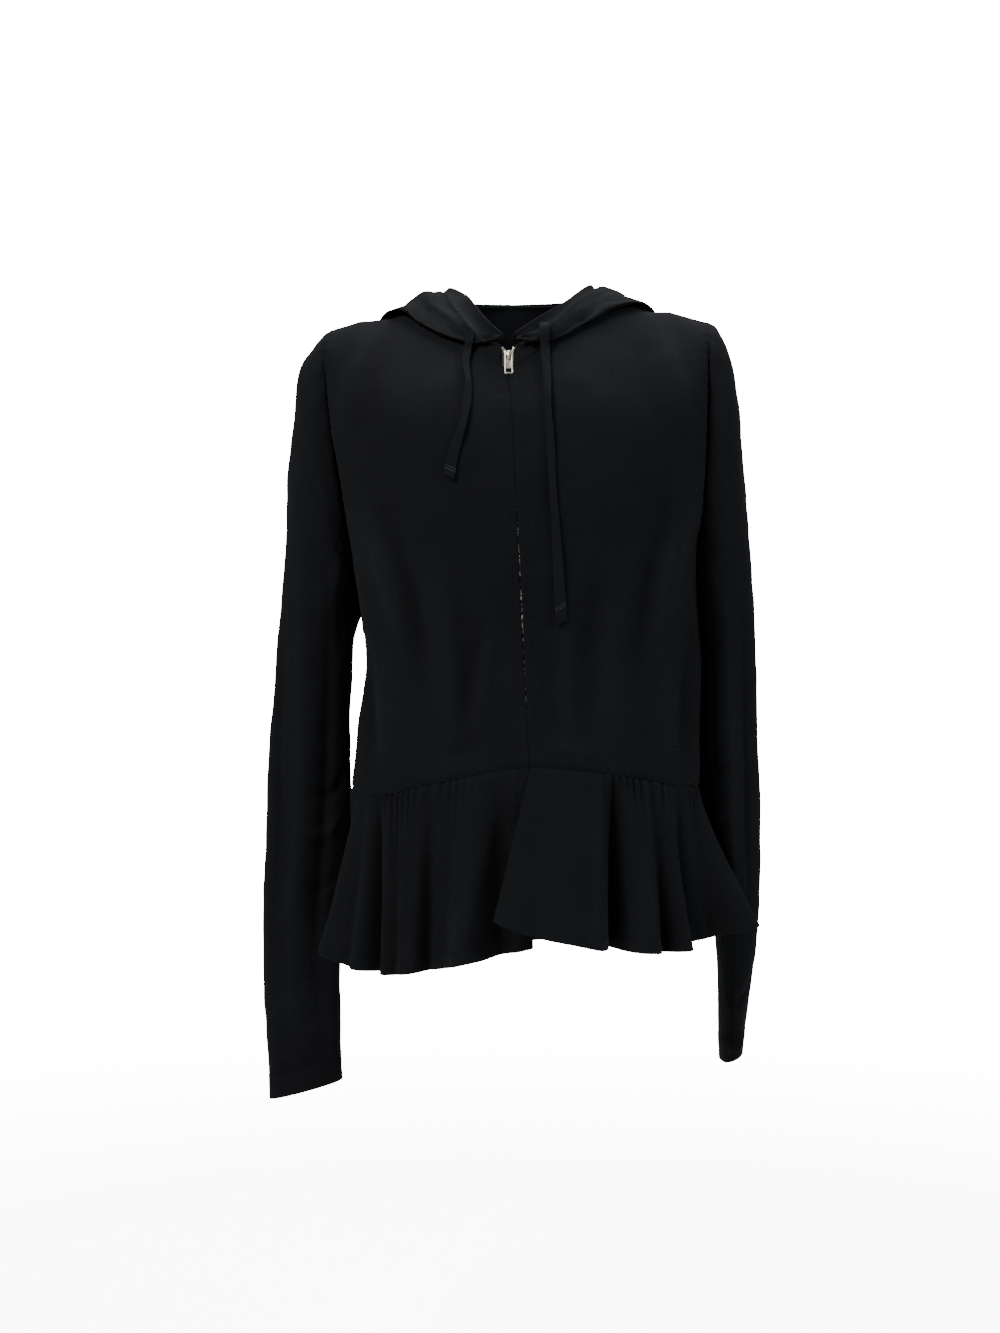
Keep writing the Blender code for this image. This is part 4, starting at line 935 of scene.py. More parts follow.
# %% Sleeves
SLEEVE_GRID = (230, 84)          # points down and round
SLEEVE_RADIUS = 0.035            # metres: turns an angle round the sleeve into a distance
SLEEVE_FOLDS = {
    RIGHT: [  # path of (angle round the sleeve, metres down it), width, height; angle 1.6 faces front
        ([(1.2, 0.05), (1.3, 0.15), (1.5, 0.28), (1.45, 0.45), (1.6, 0.60)], 0.0080, 0.0036),
        ([(1.9, 0.06), (2.0, 0.17), (2.1, 0.30), (2.0, 0.44), (2.2, 0.58)], 0.0060, -0.0034),
        ([(0.7, 0.10), (0.75, 0.22), (0.9, 0.34), (0.8, 0.48)], 0.0070, -0.0026),
        ([(2.6, 0.02), (2.3, 0.06), (2.0, 0.13)], 0.0060, 0.0030),
        ([(3.0, 0.04), (2.6, 0.09), (2.3, 0.17)], 0.0055, -0.0028),
        ([(2.9, 0.27), (2.3, 0.30), (1.5, 0.29)], 0.0055, -0.0026),
        ([(2.8, 0.31), (2.1, 0.335), (1.3, 0.33)], 0.0055, 0.0024),
        ([(2.7, 0.37), (2.0, 0.385), (1.4, 0.375)], 0.0050, -0.0020),
        ([(0.5, 0.52), (1.3, 0.535), (2.2, 0.53)], 0.0045, -0.0020),
        ([(0.8, 0.560), (1.5, 0.572), (2.4, 0.565)], 0.0045, 0.0022),
        ([(0.4, 0.590), (1.2, 0.600), (2.0, 0.594)], 0.0040, -0.0016),
        ([(4.2, 0.06), (4.4, 0.20), (4.3, 0.36), (4.5, 0.55)], 0.0080, 0.0036),
        ([(4.9, 0.10), (5.0, 0.24), (5.1, 0.40), (5.0, 0.58)], 0.0065, -0.0032),
        ([(3.5, 0.28), (4.2, 0.31), (5.0, 0.30)], 0.0055, -0.0026),
        ([(3.6, 0.33), (4.4, 0.35), (5.2, 0.34)], 0.0055, 0.0022),
        ([(3.75, 0.0), (3.7, 0.07), (3.75, 0.15)], 0.0180, 0.0110),
        ([(3.3, 0.22), (3.25, 0.32), (3.3, 0.46)], 0.0180, 0.0050),
    ],
    LEFT: [
        ([(1.9, 0.05), (1.8, 0.16), (1.7, 0.30), (1.8, 0.46), (1.7, 0.58)], 0.0075, 0.0038),
        ([(2.4, 0.05), (2.4, 0.16), (2.3, 0.30), (2.4, 0.44)], 0.0060, -0.0034),
        ([(1.2, 0.08), (1.15, 0.20), (1.1, 0.34), (1.2, 0.50)], 0.0065, -0.0030),
        ([(0.6, 0.10), (0.6, 0.24), (0.5, 0.40), (0.7, 0.54)], 0.0070, 0.0030),
        ([(2.7, 0.02), (2.3, 0.07), (1.9, 0.15)], 0.0060, 0.0030),
        ([(2.9, 0.26), (2.2, 0.285), (1.4, 0.275)], 0.0055, -0.0026),
        ([(2.8, 0.30), (2.0, 0.325), (1.2, 0.315)], 0.0055, 0.0026),
        ([(2.9, 0.355), (2.2, 0.37), (1.5, 0.362)], 0.0050, -0.0022),
        ([(0.6, 0.47), (1.4, 0.485), (2.3, 0.478)], 0.0050, -0.0022),
        ([(0.6, 0.515), (1.4, 0.528), (2.3, 0.52)], 0.0045, 0.0022),
        ([(0.5, 0.555), (1.3, 0.565), (2.1, 0.56)], 0.0040, -0.0018),
        ([(4.0, 0.06), (4.3, 0.20), (4.2, 0.36), (4.4, 0.54)], 0.0080, 0.0036),
        ([(4.8, 0.10), (4.9, 0.24), (5.0, 0.40), (4.9, 0.56)], 0.0065, -0.0032),
        ([(3.5, 0.27), (4.2, 0.30), (5.0, 0.29)], 0.0055, -0.0026),
        ([(3.6, 0.32), (4.4, 0.34), (5.2, 0.33)], 0.0055, 0.0022),
        ([(3.75, -0.05), (3.7, 0.08), (3.75, 0.20)], 0.0180, 0.0085),
        ([(3.75, 0.10), (3.7, 0.26), (3.8, 0.42)], 0.0180, 0.0090),
    ],
}


def armhole_ring(side, angles):
    """The edge that the front and the back leave for a sleeve, moved out by the seam's step."""
    tip_z = SHOULDER_TIP[side][2]
    middle, reach = (tip_z + UNDERARM_Z) / 2, (tip_z - UNDERARM_Z) / 2
    edges = {}
    for forward in (True, False):
        column = panel(side, np.array([0.99, 1.0]), crowded(120, 0.3), forward)[:, -1]
        column = column[column[:, 2] > UNDERARM_Z - 0.004]
        turn = np.arccos(np.clip((column[:, 2] - middle) / reach, -1, 1))
        order = np.argsort(turn)
        edges[forward] = (turn[order], column[order])
    ring = []
    for angle in angles:
        forward = angle <= math.pi
        turn, column = edges[forward]
        at = angle if forward else 2 * math.pi - angle
        point = np.array([np.interp(at, turn, column[:, k]) for k in range(3)])
        ring.append(point + np.array((side * SEAM_STEP * 0.35, 0.0, 0.0)))
    return ring


def sleeve_points(side, around, along):
    """Rings from the armhole's edge to the cuff: [ring][around][xyz]."""
    angles = np.linspace(0.0, 2 * math.pi, around, endpoint=False)
    rings = [armhole_ring(side, angles)]
    for out_x, out_z, in_x, in_z, mid_y, depth, square in SLEEVE_RINGS[side]:
        outer = np.array((out_x, mid_y, out_z))
        inner = np.array((in_x, mid_y, in_z))
        ring = []
        for angle in angles:
            point = (outer + inner) / 2 + (outer - inner) / 2 * power(math.cos(angle), square)
            point[1] -= depth / 2 * power(math.sin(angle), square)
            ring.append(point)
        rings.append(ring)
    rings = np.array(rings)
    middles = rings.mean(axis=1)
    knots = np.concatenate([[0.0], np.cumsum(np.linalg.norm(np.diff(middles, axis=0), axis=1))])
    return spline(knots, rings, along * knots[-1])


CUFF_HEM = 0.020                 # metres from the cuff's edge to its stitches
for side, name in ((RIGHT, "sleeve_right"), (LEFT, "sleeve_left")):
    base = shouldered(sleeve_points(side, SLEEVE_GRID[1], crowded(SLEEVE_GRID[0], 0.35)))
    middle = base.mean(axis=1, keepdims=True)
    square = outward_normals(base, closed=True)
    square *= np.sign(np.einsum("ijk,ijk->ij", square, base - middle).mean())
    down = run(base.mean(axis=1, keepdims=True), 0)[:, 0]
    angle = np.broadcast_to(np.linspace(0, 2 * math.pi, SLEEVE_GRID[1], endpoint=False), base.shape[:2])
    place_down = np.broadcast_to(down[:, None], base.shape[:2])
    rows = [([(turn * SLEEVE_RADIUS, drop) for turn, drop in path], width, height)
            for path, width, height in SLEEVE_FOLDS[side]]
    folds = creases(angle * SLEEVE_RADIUS, place_down, rows) * 1.15
    folds += slack(base, (0.0014, 0.050, side + 21), (0.0006, 0.017, side + 25))
    to_cuff = down[-1] - place_down
    folds *= np.clip(place_down / 0.03, 0, 1) * np.clip(to_cuff / 0.012 + 0.35, 0, 1)
    folds += pucker(place_down, angle * SLEEVE_RADIUS, 0.0007, 0.0090, 0.010)
    folds += pucker(np.abs(to_cuff - CUFF_HEM), angle * SLEEVE_RADIUS, 0.0003, 0.0080, 0.004)
    rolls = seam_roll(place_down, 0.0020, 0.0030) + stitch_groove(to_cuff - CUFF_HEM, 0.0003, 0.0012)
    wall = JERSEY_WALL * (1 + 0.5 * (to_cuff < CUFF_HEM))
    sewn_panel(name, base, square, folds, rolls, wall, closed=True)

# %% [markdown]
# ## The peplum
# A peplum is a strip of cloth about half as long again as the seam that it is sewn to. Gathering crowds the
# spare cloth into many tiny ripples at the seam. A few centimetres down they have merged into a handful of
# deep folds that stand out at the hem. Both scales are made here: the deep folds by a table of places, the
# ripples by waves of uneven length that fade away downwards.

# %% Peplum
PEPLUM_GRID = {"front_right": (54, 170), "front_left": (54, 190), "back": (54, 330)}
GATHER_PITCH, GATHER_HEIGHT = 0.0066, 0.0014     # metres, at the seam
CALM = {"front_right": (0.72, 0.10, 0.75), "front_left": (0.12, 0.12, 0.90), "back": (0.42, 0.04, 0.6)}
FLUTE_HEIGHT = 0.0014                            # metres: folds between the ripples and the deep folds
HEM_RISE = 0.5                                   # share of a swung-out fold's rise that a soft hem keeps
HEM_STITCH = 0.010                               # metres above the hem's edge
PEPLUM_CREASES = {   # place, width, height at the hem (below zero a recess), where down the cloth it starts
    "front_right": [(0.08, 0.030, -0.012, 0.0), (0.33, 0.026, -0.010, 0.0), (0.47, 0.040, -0.004, 0.0),
                    (0.595, 0.026, -0.018, 0.0), (0.655, 0.022, 0.007, 0.0), (0.90, 0.030, -0.006, 0.1)],
    "front_left": [(0.212, 0.022, 0.007, 0.0), (0.275, 0.024, -0.028, 0.0), (0.345, 0.022, 0.003, 0.0),
                   (0.46, 0.026, -0.006, 0.1), (0.60, 0.028, -0.007, 0.0), (0.72, 0.026, -0.004, 0.1),
                   (0.91, 0.026, -0.006, 0.0)],
    "back": [(0.09, 0.016, -0.006, 0.1), (0.22, 0.018, -0.009, 0.0), (0.355, 0.016, -0.008, 0.0),
             (0.485, 0.018, -0.010, 0.0), (0.615, 0.016, -0.009, 0.1), (0.74, 0.014, -0.008, 0.0),
             (0.83, 0.014, -0.006, 0.1), (0.935, 0.014, -0.005, 0.1)],
}


def cloth_length(name, shares):
    """The length of the flounce below each share of its seam, as one row."""
    return spline(*np.array(PEPLUM_LENGTH[name]).T, shares)[None]


def waist_point(name, share):
    """A point of the peplum's top edge, under the body's hem, with its outward direction."""
    if name == "back":
        side = RIGHT if share < 0.5 else LEFT
        across = abs(2 * share - 1)
        forward = False
    else:
        side = LEFT if name == "front_left" else RIGHT
        across = share
        forward = True
    row = panel_rows(side, [across, min(across + 0.01, 1.0), max(across - 0.01, 0.0)], forward)[0]
    tangent = row[1] - row[2]
    outward = np.array((tangent[1], -tangent[0], 0.0)) * side * (1 if forward else -1)
    outward /= np.linalg.norm(outward)
    point = row[0].copy()
    point[1] += -PANEL_SHIFT if forward else PANEL_SHIFT
    return point, outward


def peplum_base(name, shares, downs):
    """The flounce as the plain model has it, and its outward direction."""
    seams, ways, outs, aside = [], [], [], []
    length = cloth_length(name, shares)
    for share in shares:
        seam, way = waist_point(name, float(share))
        at_side = (2 * share - 1) ** 8 if name == "back" else share ** 6
        bells = [math.exp(-((share - f[0]) / f[1]) ** 2) for f in PEPLUM_FOLDS[name]]
        outs.append(PEPLUM_FLARE * (1 - at_side) + sum(b * f[2] for b, f in zip(bells, PEPLUM_FOLDS[name])))
        aside.append(sum(b * f[3] for b, f in zip(bells, PEPLUM_FOLDS[name])))
        seams.append(seam)
        ways.append(way)
    seams, ways, down = np.array(seams), np.array(ways), np.asarray(downs)[:, None, None]
    swing = ways * np.array(outs)[:, None] * down ** 1.15
    swing[..., 0] += np.array(aside) * np.asarray(downs)[:, None] ** 1.05
    # the cloth keeps its length, so where it swings out its hem rises
    fallen = np.sqrt(np.maximum((length * down[..., 0]) ** 2 - (swing ** 2).sum(axis=2) * HEM_RISE, 0))
    points = seams + swing
    points[..., 2] -= GAP * 1.5 + fallen
    return points, np.broadcast_to(ways, points.shape)


for name, (rows, columns) in PEPLUM_GRID.items():
    shares, downs = np.linspace(0, 1, columns), crowded(rows, 0.5)
    base, ways = peplum_base(name, shares, downs)
    seed = {"front_right": 1, "front_left": 2, "back": 3}[name]
    width = run(base[:1], 1)[0, -1]
    along = shares * width
    wander = np.sin(along * 97 + seed) * np.sin(along * 41 + 2 * seed)
    drift = np.cumsum(1 + 0.55 * wander) * (width / columns)
    length = cloth_length(name, shares)
    down = downs[:, None] * length
    ends = np.clip(np.minimum(shares, 1 - shares) / 0.02, 0, 1)
    # ripples: each leans its own way and dies at its own depth
    depth = 0.020 + 0.012 * np.sin(drift * 130 + seed)
    ripple = np.cos(2 * math.pi * (drift / GATHER_PITCH + 4.0 * down * np.sin(drift * 71)))
    onset = 1 - 0.35 * np.exp(-down / 0.0015)
    clump = 0.5 + 0.5 * np.sin(along * 62 + 2.1 * seed + 1.6 * np.sin(along * 29 + seed))
    still = 1 - 0.8 * np.exp(-((shares - CALM[name][0]) / CALM[name][1]) ** 4)
    folds = GATHER_HEIGHT * (0.25 + 1.1 * clump) * still * ripple * onset * np.exp(-(down / depth) ** 1.3)
    # flutes: broader waves, between the ripples and the deep folds
    flute = np.cos(2 * math.pi * drift / 0.0235 + 1.4 * np.sin(drift * 53 + seed))
    calm = 1 - CALM[name][2] * np.exp(-((shares - CALM[name][0]) / CALM[name][1]) ** 4)
    folds += FLUTE_HEIGHT * calm * flute * (down / 0.05) ** 0.7 * np.exp(-down / 0.11) * 0.8
    for place, wide, height, start in PEPLUM_CREASES[name]:
        grow = np.clip((downs[:, None] - start) / (1 - start), 0, 1) ** 0.8
        folds += height * grow * np.exp(-((shares - place) / wide) ** 2)
    folds += 0.0012 * unevenness(base, 0.035, 30 + seed)
    folds = folds * ends
    from_hem = length - down + 0 * folds
    folds += pucker(np.abs(from_hem - HEM_STITCH), drift + 0 * folds, 0.0004, 0.0075, 0.004)
    rolls = seam_roll(down + 0 * folds) - 0.0003 * np.exp(-((from_hem - HEM_STITCH) / 0.0011) ** 2)
    if name != "back":
        base[..., 0] += (1 if name == "front_left" else -1) * 0.0008 * (shares < 0.02)
    points = base + ways * (folds + rolls)[..., None]
    square = outward_normals(points)
    square *= np.sign(np.einsum("ijk,ijk->ij", square, ways).mean())
    surfaces[f"peplum_{name}"], outward[f"peplum_{name}"] = points, square
    hem = np.where(from_hem < HEM_STITCH, THICK_HEM, JERSEY_WALL)
    # the peplum's folds are painted stronger: recesses darker as painted shade, lobes lighter as painted
    # light
    wall_of_cloth(f"jersey_peplum_{name}", points, square, hem, relief=folds * 1.2)

# %% [markdown]
# ## The waist seam's allowance
# Inside, the body and the peplum are sewn edge to edge, and the raw edges are overlocked and pressed up as a
# narrow strip. It is hardly seen, but it closes the seam to the light.

# %% Waist allowance
ALLOWANCE = 0.006                # metres above and below the seam
NEAR_SEAM = 0.0012               # metres from the seam to the strip's inner rows
UNDER_BODY, UNDER_PEPLUM = 0.0013, 0.0010        # metres from the middle of the cloth to the strip's


def row_inside(name, distance, inside):
    """The line at one distance up or down a panel from the waist, just inside its cloth."""
    points, ways = surfaces[name], outward[name]
    along = run(points, 0)
    line = [[np.interp(distance, along[:, k], points[:, k, axis]) for axis in range(3)]
            for k in range(points.shape[1])]
    return np.array(line) - ways[4] * inside


BODY_SHARES = {"front_left": crowded(FRONT_GRID[1]), "front_right": crowded(FRONT_GRID[1]),
               "back": np.concatenate([(1 - half_shares[:0:-1]) / 2, (1 + half_shares) / 2])}
strip_parts = []
for name, backwards in (("front_left", False), ("back", True), ("front_right", True)):
    shares = np.linspace(0, 1, PEPLUM_GRID[name][1])
    rows = [row_inside("peplum_" + name, d, UNDER_PEPLUM) for d in (ALLOWANCE, NEAR_SEAM)]
    for distance in (NEAR_SEAM, ALLOWANCE):
        row = row_inside(name, distance, UNDER_BODY)
        rows.append(np.column_stack([np.interp(shares, BODY_SHARES[name], row[:, k]) for k in range(3)]))
    rows = np.array(rows)
    strip_parts.append(rows[:, ::-1] if backwards else rows)
strip = np.concatenate(strip_parts, axis=1)[:, ::2]
square = outward_normals(strip, closed=True)
square *= np.sign((square[..., 1] * strip[..., 1]).sum())
wall_of_cloth("jersey_waist_allowance", strip, square, 0.0008, closed=True)
allowance_long = float(run(strip[1:2], 1)[0, -1])

# %% [markdown]
# ## The hood
# The hood lies down. Its cloth leaves the neck seam, falls over the shoulder, turns back up in a soft roll,
# and ends in the casing that the drawstring runs in. At the back it makes the pouch that would hold a head.
# It is a loft through the same seven lines as the plain model, and it is pushed clear of the body's cloth.

# %% Hood
HOOD_GRID = (100, 104)           # points along the neck and across the cloth
HOOD_EASE = 24                   # passes that round the free edge where it turns over the shoulder
CASING = 0.016                   # metres from the face edge to the casing's stitches
TUNNEL = 0.0020                  # metres that the casing stands up round the cord


def hood_points(side, across, along, samples):
    """The hood lying down: a loft from the neck seam over its folds to the face edge."""
    lines = HOOD_LINES[side]
    shares = np.linspace(0, 1, along)
    seam = []
    for share in shares:
        forward = share < 0.5
        place = 2 * share * NECK_SHARE if forward else (2 - 2 * share) * NECK_SHARE
        point = top_edge(side, min(place, NECK_SHARE * 0.999), forward)
        if forward:
            point = point + np.array((side * SLIDER_OPEN * max(0.0, 1 - place / 0.25), 0.0, 0.0))
        seam.append(point + np.array((0, 0, WALL)))
    seam = lifted(np.array([seam]), samples, WALL + GAP * 4)[0]
    paths = {}
    for name, rows in lines.items():
        mirrored = (2 - rows[-2][0], 2 * NAPE[0] - rows[-2][1], rows[-2][2], rows[-2][3])
        table = np.array(rows + [mirrored])
        paths[name] = spline(table[:, 0], table[:, 1:], shares)
    rows = []
    for i, share in enumerate(shares):
        fall, ridge = paths["fall"][i], paths["ridge"][i]
        pouch = max(0.0, (share - 0.45) / 0.55) ** 0.7
        swell = np.array((side * 0.010 * math.sin(math.pi * share), HOOD_SWELL * pouch, 0.0))
        inner = seam[i] * 0.5 + fall * 0.5 + np.array((0, 0.012 * pouch, 0.004 * (1 - pouch)))
        outer = fall * 0.45 + ridge * 0.55 + swell
        outer[2] -= HOOD_SLUMP[side] * math.sin(math.pi * share)
        stops = [seam[i], inner, fall, outer, ridge, paths["valley"][i], paths["edge"][i]]
        rows.append(through(stops, across))
    points = np.array(rows)
    push = lifted(points, samples, HOOD_LIFT) - points
    push[:, 0] = 0.0
    points = points + softened(push, 14)
    free = np.clip((np.linspace(0, 1, across) - 0.5) / 0.3, 0, 1)[None, :, None]
    for _ in range(HOOD_EASE):
        points[1:-1] += free * (points[:-2] - 2 * points[1:-1] + points[2:]) / 4
    points[-1, :, 0] = NAPE[0]
    points[..., 0] += side * PANEL_SHIFT * 0.6
    return points


def softened(field, times):
    """Evens out a field over the grid; its borders keep their own values."""
    field = field.copy()
    for _ in range(times):
        field[1:-1, 1:-1] = (field[1:-1, 1:-1] * 2 + field[:-2, 1:-1] + field[2:, 1:-1]
                             + field[1:-1, :-2] + field[1:-1, 2:]) / 6
        field[1:-1, -1] = (field[:-2, -1] + 2 * field[1:-1, -1] + field[2:, -1]) / 4
    return field


HOOD_FOLDS = [   # path of (metres across from the neck seam, metres along the neck), width, height
    ([(0.030, 0.030), (0.050, 0.070), (0.060, 0.120)], 0.0060, 0.0022),
    ([(0.020, 0.060), (0.036, 0.095), (0.044, 0.140)], 0.0050, -0.0020),
    ([(0.075, 0.120), (0.095, 0.160), (0.120, 0.210)], 0.0080, 0.0026),
    ([(0.050, 0.150), (0.080, 0.190), (0.110, 0.235)], 0.0070, -0.0026),
    ([(0.120, 0.150), (0.140, 0.190), (0.165, 0.230)], 0.0075, -0.0022),
    ([(0.140, 0.120), (0.160, 0.170), (0.185, 0.220)], 0.0070, 0.0022),
    ([(0.045, 0.250), (0.090, 0.262), (0.135, 0.246), (0.165, 0.215)], 0.0085, 0.0034),
    ([(0.060, 0.228), (0.100, 0.236), (0.140, 0.214)], 0.0070, -0.0028),
    ([(0.130, 0.275), (0.160, 0.255), (0.190, 0.230)], 0.0080, -0.0030),
    ([(0.085, 0.185), (0.110, 0.205), (0.150, 0.190)], 0.0075, 0.0026),
]
samples = body_samples()
for side, name in ((RIGHT, "hood_right"), (LEFT, "hood_left")):
    base = shouldered(hood_points(side, HOOD_GRID[1], HOOD_GRID[0], samples))
    square = outward_normals(base)
    square *= np.sign(square[70:90, 30:50, 1].mean())
    along, across = run(base, 0), run(base, 1)
    to_edge = across[:, -1:] - across
    folds = creases(across, along, HOOD_FOLDS) * (0.9 if side == RIGHT else 1.1)
    folds += 0.0012 * unevenness(base, 0.040, side + 41) + 0.0005 * unevenness(base, 0.015, side + 45)
    folds *= np.clip(np.minimum(across, to_edge - CASING) / 0.012, 0, 1)
    folds *= np.clip((along[-1:] - along) / 0.012, 0, 1)
    folds += pucker(across, along, 0.0003, 0.0080, 0.006)
    folds += pucker(np.abs(to_edge - CASING), along, 0.00035, 0.0090, 0.004)
    tunnel = np.clip(np.sin(np.clip(to_edge / CASING, 0, 1) * math.pi), 0, 1)
    folds += TUNNEL * tunnel
    rolls = stitch_groove(to_edge - CASING, 0.0013, 0.0019)
    wall = JERSEY_WALL * (1 + 0.9 * (to_edge < CASING))
    sewn_panel(name, base, square, folds, rolls, wall)

# %% [markdown]
# ## The zip
# A zip is two rows of teeth that mesh behind the fronts' edges, so only glints of them show between the
# edges. Teeth repeat along a line, which is what Geometry Nodes do best: one small tooth is placed at every
# pitch along the line, each moved a little to its own side in turn.

# %% Teeth
TOOTH = (0.0026, 0.0011, 0.00105)      # across, through and along the zip, in metres
TOOTH_PITCH = 0.00155
TEETH_BEHIND = 0.0013                  # metres from the fronts' middle to the teeth's


def zip_line(heights):
    """The zip's middle line, level with the fronts' cloth."""
    edge = front_surface(LEFT, np.array([0.0, 0.01]), np.linspace(0, 1, 200))[:, 0]
    y = np.interp(heights, edge[:, 2], edge[:, 1])
    return np.column_stack([[zip_x(z) for z in heights], y, heights])


def polylines(name, lines):
    """A mesh of edges only, along each line of points: what a node tree follows."""
    points, edges = [], []
    for line in lines:
        start = len(points)
        points += [tuple(p) for p in line]
        edges += [(start + k, start + k + 1) for k in range(len(line) - 1)]
    mesh = bpy.data.meshes.new(name)
    mesh.from_pydata(points, edges, [])
    return placed(name, mesh)


def new_tree(name, numbers):
    """A geometry tree with a Geometry input, named number inputs and a Geometry output."""
    made = bpy.data.node_groups.new(name, "GeometryNodeTree")
    made.interface.new_socket("Geometry", in_out="INPUT", socket_type="NodeSocketGeometry")
    for label, value in numbers:
        made.interface.new_socket(label, in_out="INPUT", socket_type="NodeSocketFloat").default_value = value
    made.interface.new_socket("Material", in_out="INPUT", socket_type="NodeSocketMaterial")
    made.interface.new_socket("Geometry", in_out="OUTPUT", socket_type="NodeSocketGeometry")
    return made, add(made, "NodeGroupInput").outputs


def grown(item, tree, settings):
    """Runs a geometry tree on an object and keeps the result as its plain mesh."""
    modifier = item.modifiers.new(tree.name, "NODES")
    modifier.node_group = tree
    for socket in tree.interface.items_tree:
        if socket.in_out == "INPUT" and socket.name in settings:
            modifier[socket.identifier] = settings[socket.name]
    bpy.context.view_layer.update()
    made = bpy.data.meshes.new_from_object(item.evaluated_get(bpy.context.evaluated_depsgraph_get()))
    item.modifiers.clear()
    old, item.data = item.data, made
    made.name = item.name
    bpy.data.meshes.remove(old)
    garment_pieces[item.name] = item
    print(f"{item.name}: {sum(len(p.vertices) - 2 for p in made.polygons)} triangles")


def marks_along(tree, given):
    """Points along the lines, at the given pitch."""
    line = add(tree, "GeometryNodeMeshToCurve", {0: given["Geometry"]}).outputs[0]
    return add(tree, "GeometryNodeCurveToPoints", {"Curve": line, "Length": given["Pitch"]}, mode="LENGTH")


def repeated(tree, places, material):
    """Puts a shape at every point, makes the copies real, gives them their finish and ends the tree."""
    row = add(tree, "GeometryNodeInstanceOnPoints", places).outputs[0]
    solid = add(tree, "GeometryNodeRealizeInstances", {0: row}).outputs[0]
    finished = add(tree, "GeometryNodeSetMaterial", {"Geometry": solid, "Material": material}).outputs[0]
    add(tree, "NodeGroupOutput", {0: finished})


teeth_tree, given = new_tree("zip_teeth", [("Pitch", TOOTH_PITCH), ("Across", TOOTH[0]),
                                           ("Through", TOOTH[1]), ("Along", TOOTH[2]), ("Side Step", 0.0007)])
marks = marks_along(teeth_tree, given)
size = add(teeth_tree, "ShaderNodeCombineXYZ", {0: given["Across"], 1: given["Through"], 2: given["Along"]})
block = add(teeth_tree, "GeometryNodeMeshCube", {"Size": size.outputs[0]}).outputs[0]
smoothing = {0: block, "Level": 1, "Edge Crease": 0.75}
tooth = add(teeth_tree, "GeometryNodeSubdivisionSurface", smoothing).outputs[0]
number = add(teeth_tree, "GeometryNodeInputIndex").outputs[0]
odd = add(teeth_tree, "ShaderNodeMath", {0: number, 1: 2.0}, operation="MODULO").outputs[0]
side_way = add(teeth_tree, "ShaderNodeMath", {0: odd, 1: 2.0, 2: -1.0}, operation="MULTIPLY_ADD").outputs[0]
step = maths(teeth_tree, "MULTIPLY", side_way, given["Side Step"])
aside = add(teeth_tree, "ShaderNodeCombineXYZ", {0: step}).outputs[0]
moved = {"Geometry": marks.outputs[0], "Offset": aside}
set_out = add(teeth_tree, "GeometryNodeSetPosition", moved).outputs[0]
repeated(teeth_tree, {"Points": set_out, "Instance": tooth}, given["Material"])

heights = np.linspace(ZIP_TOP[1] - 0.021, ZIP_END[1] + 0.004, 160)
middle = zip_line(heights) + np.array((0.0, TEETH_BEHIND, 0.0))
grown(polylines("zip_teeth", [middle]), teeth_tree, {"Material": teeth_nickel_painted_glints})

# %% [markdown]
# ## Slider and pull
# The slider is two shield-shaped plates joined by a post, with a bridge on the front. The pull hangs from the
# bridge by a square eye and has a small slot near its end. Both are flat outlines with holes: a filled 2-D
# curve with a rounded bevel makes each in one step.

# %% Slider and pull
SLIDER_LEAN = -0.25386           # radians: the slope of the fronts under the slider
tab_joint = next(joint for joint in frame["joints"] if joint["name"] == "pull_tab_swing")
pivot = Vector(tab_joint["pos_m"])
lean = Matrix.Rotation(SLIDER_LEAN, 4, "X")
AXIS_IN_SLIDER = Vector((0.0, -0.0037, 0.0006))      # the pull's axis from the slider's middle
slider_place = Matrix.Translation(pivot) @ lean @ Matrix.Translation(-AXIS_IN_SLIDER)
tab_place = Matrix.Translation(pivot) @ lean
UPRIGHT = Matrix.Rotation(math.radians(90), 4, "X")  # stands a flat outline up to face forwards


def plate(name, outlines, thick, edge, place):
    """A flat plate with rounded edges. The first outline is its edge, and the others are holes."""
    curve = bpy.data.curves.new(name, "CURVE")
    curve.dimensions, curve.fill_mode = "2D", "BOTH"
    curve.extrude, curve.bevel_depth, curve.bevel_resolution, curve.offset = thick / 2 - edge, edge, 2, -edge
    for points in outlines:
        line = curve.splines.new("POLY")
        line.points.add(len(points) - 1)
        line.use_cyclic_u = True
        for spot, (x, y) in zip(line.points, points):
            spot.co = (x, y, 0.0, 1.0)
    item = bpy.data.objects.new(name, curve)
    mesh = bpy.data.meshes.new_from_object(item)
    bpy.data.objects.remove(item)
    mesh.transform(place @ UPRIGHT)
    return mesh


def rounded(width, height, corner, middle=(0.0, 0.0), steps=5):
    """The outline of a rectangle with round corners."""
    points = []
    for quarter, (sx, sy) in enumerate(((1, 1), (-1, 1), (-1, -1), (1, -1))):
        for k in range(steps + 1):
            angle = math.pi / 2 * (quarter + k / steps)
            points.append((middle[0] + sx * (width / 2 - corner) + corner * math.cos(angle),
                           middle[1] + sy * (height / 2 - corner) + corner * math.sin(angle)))
    return points


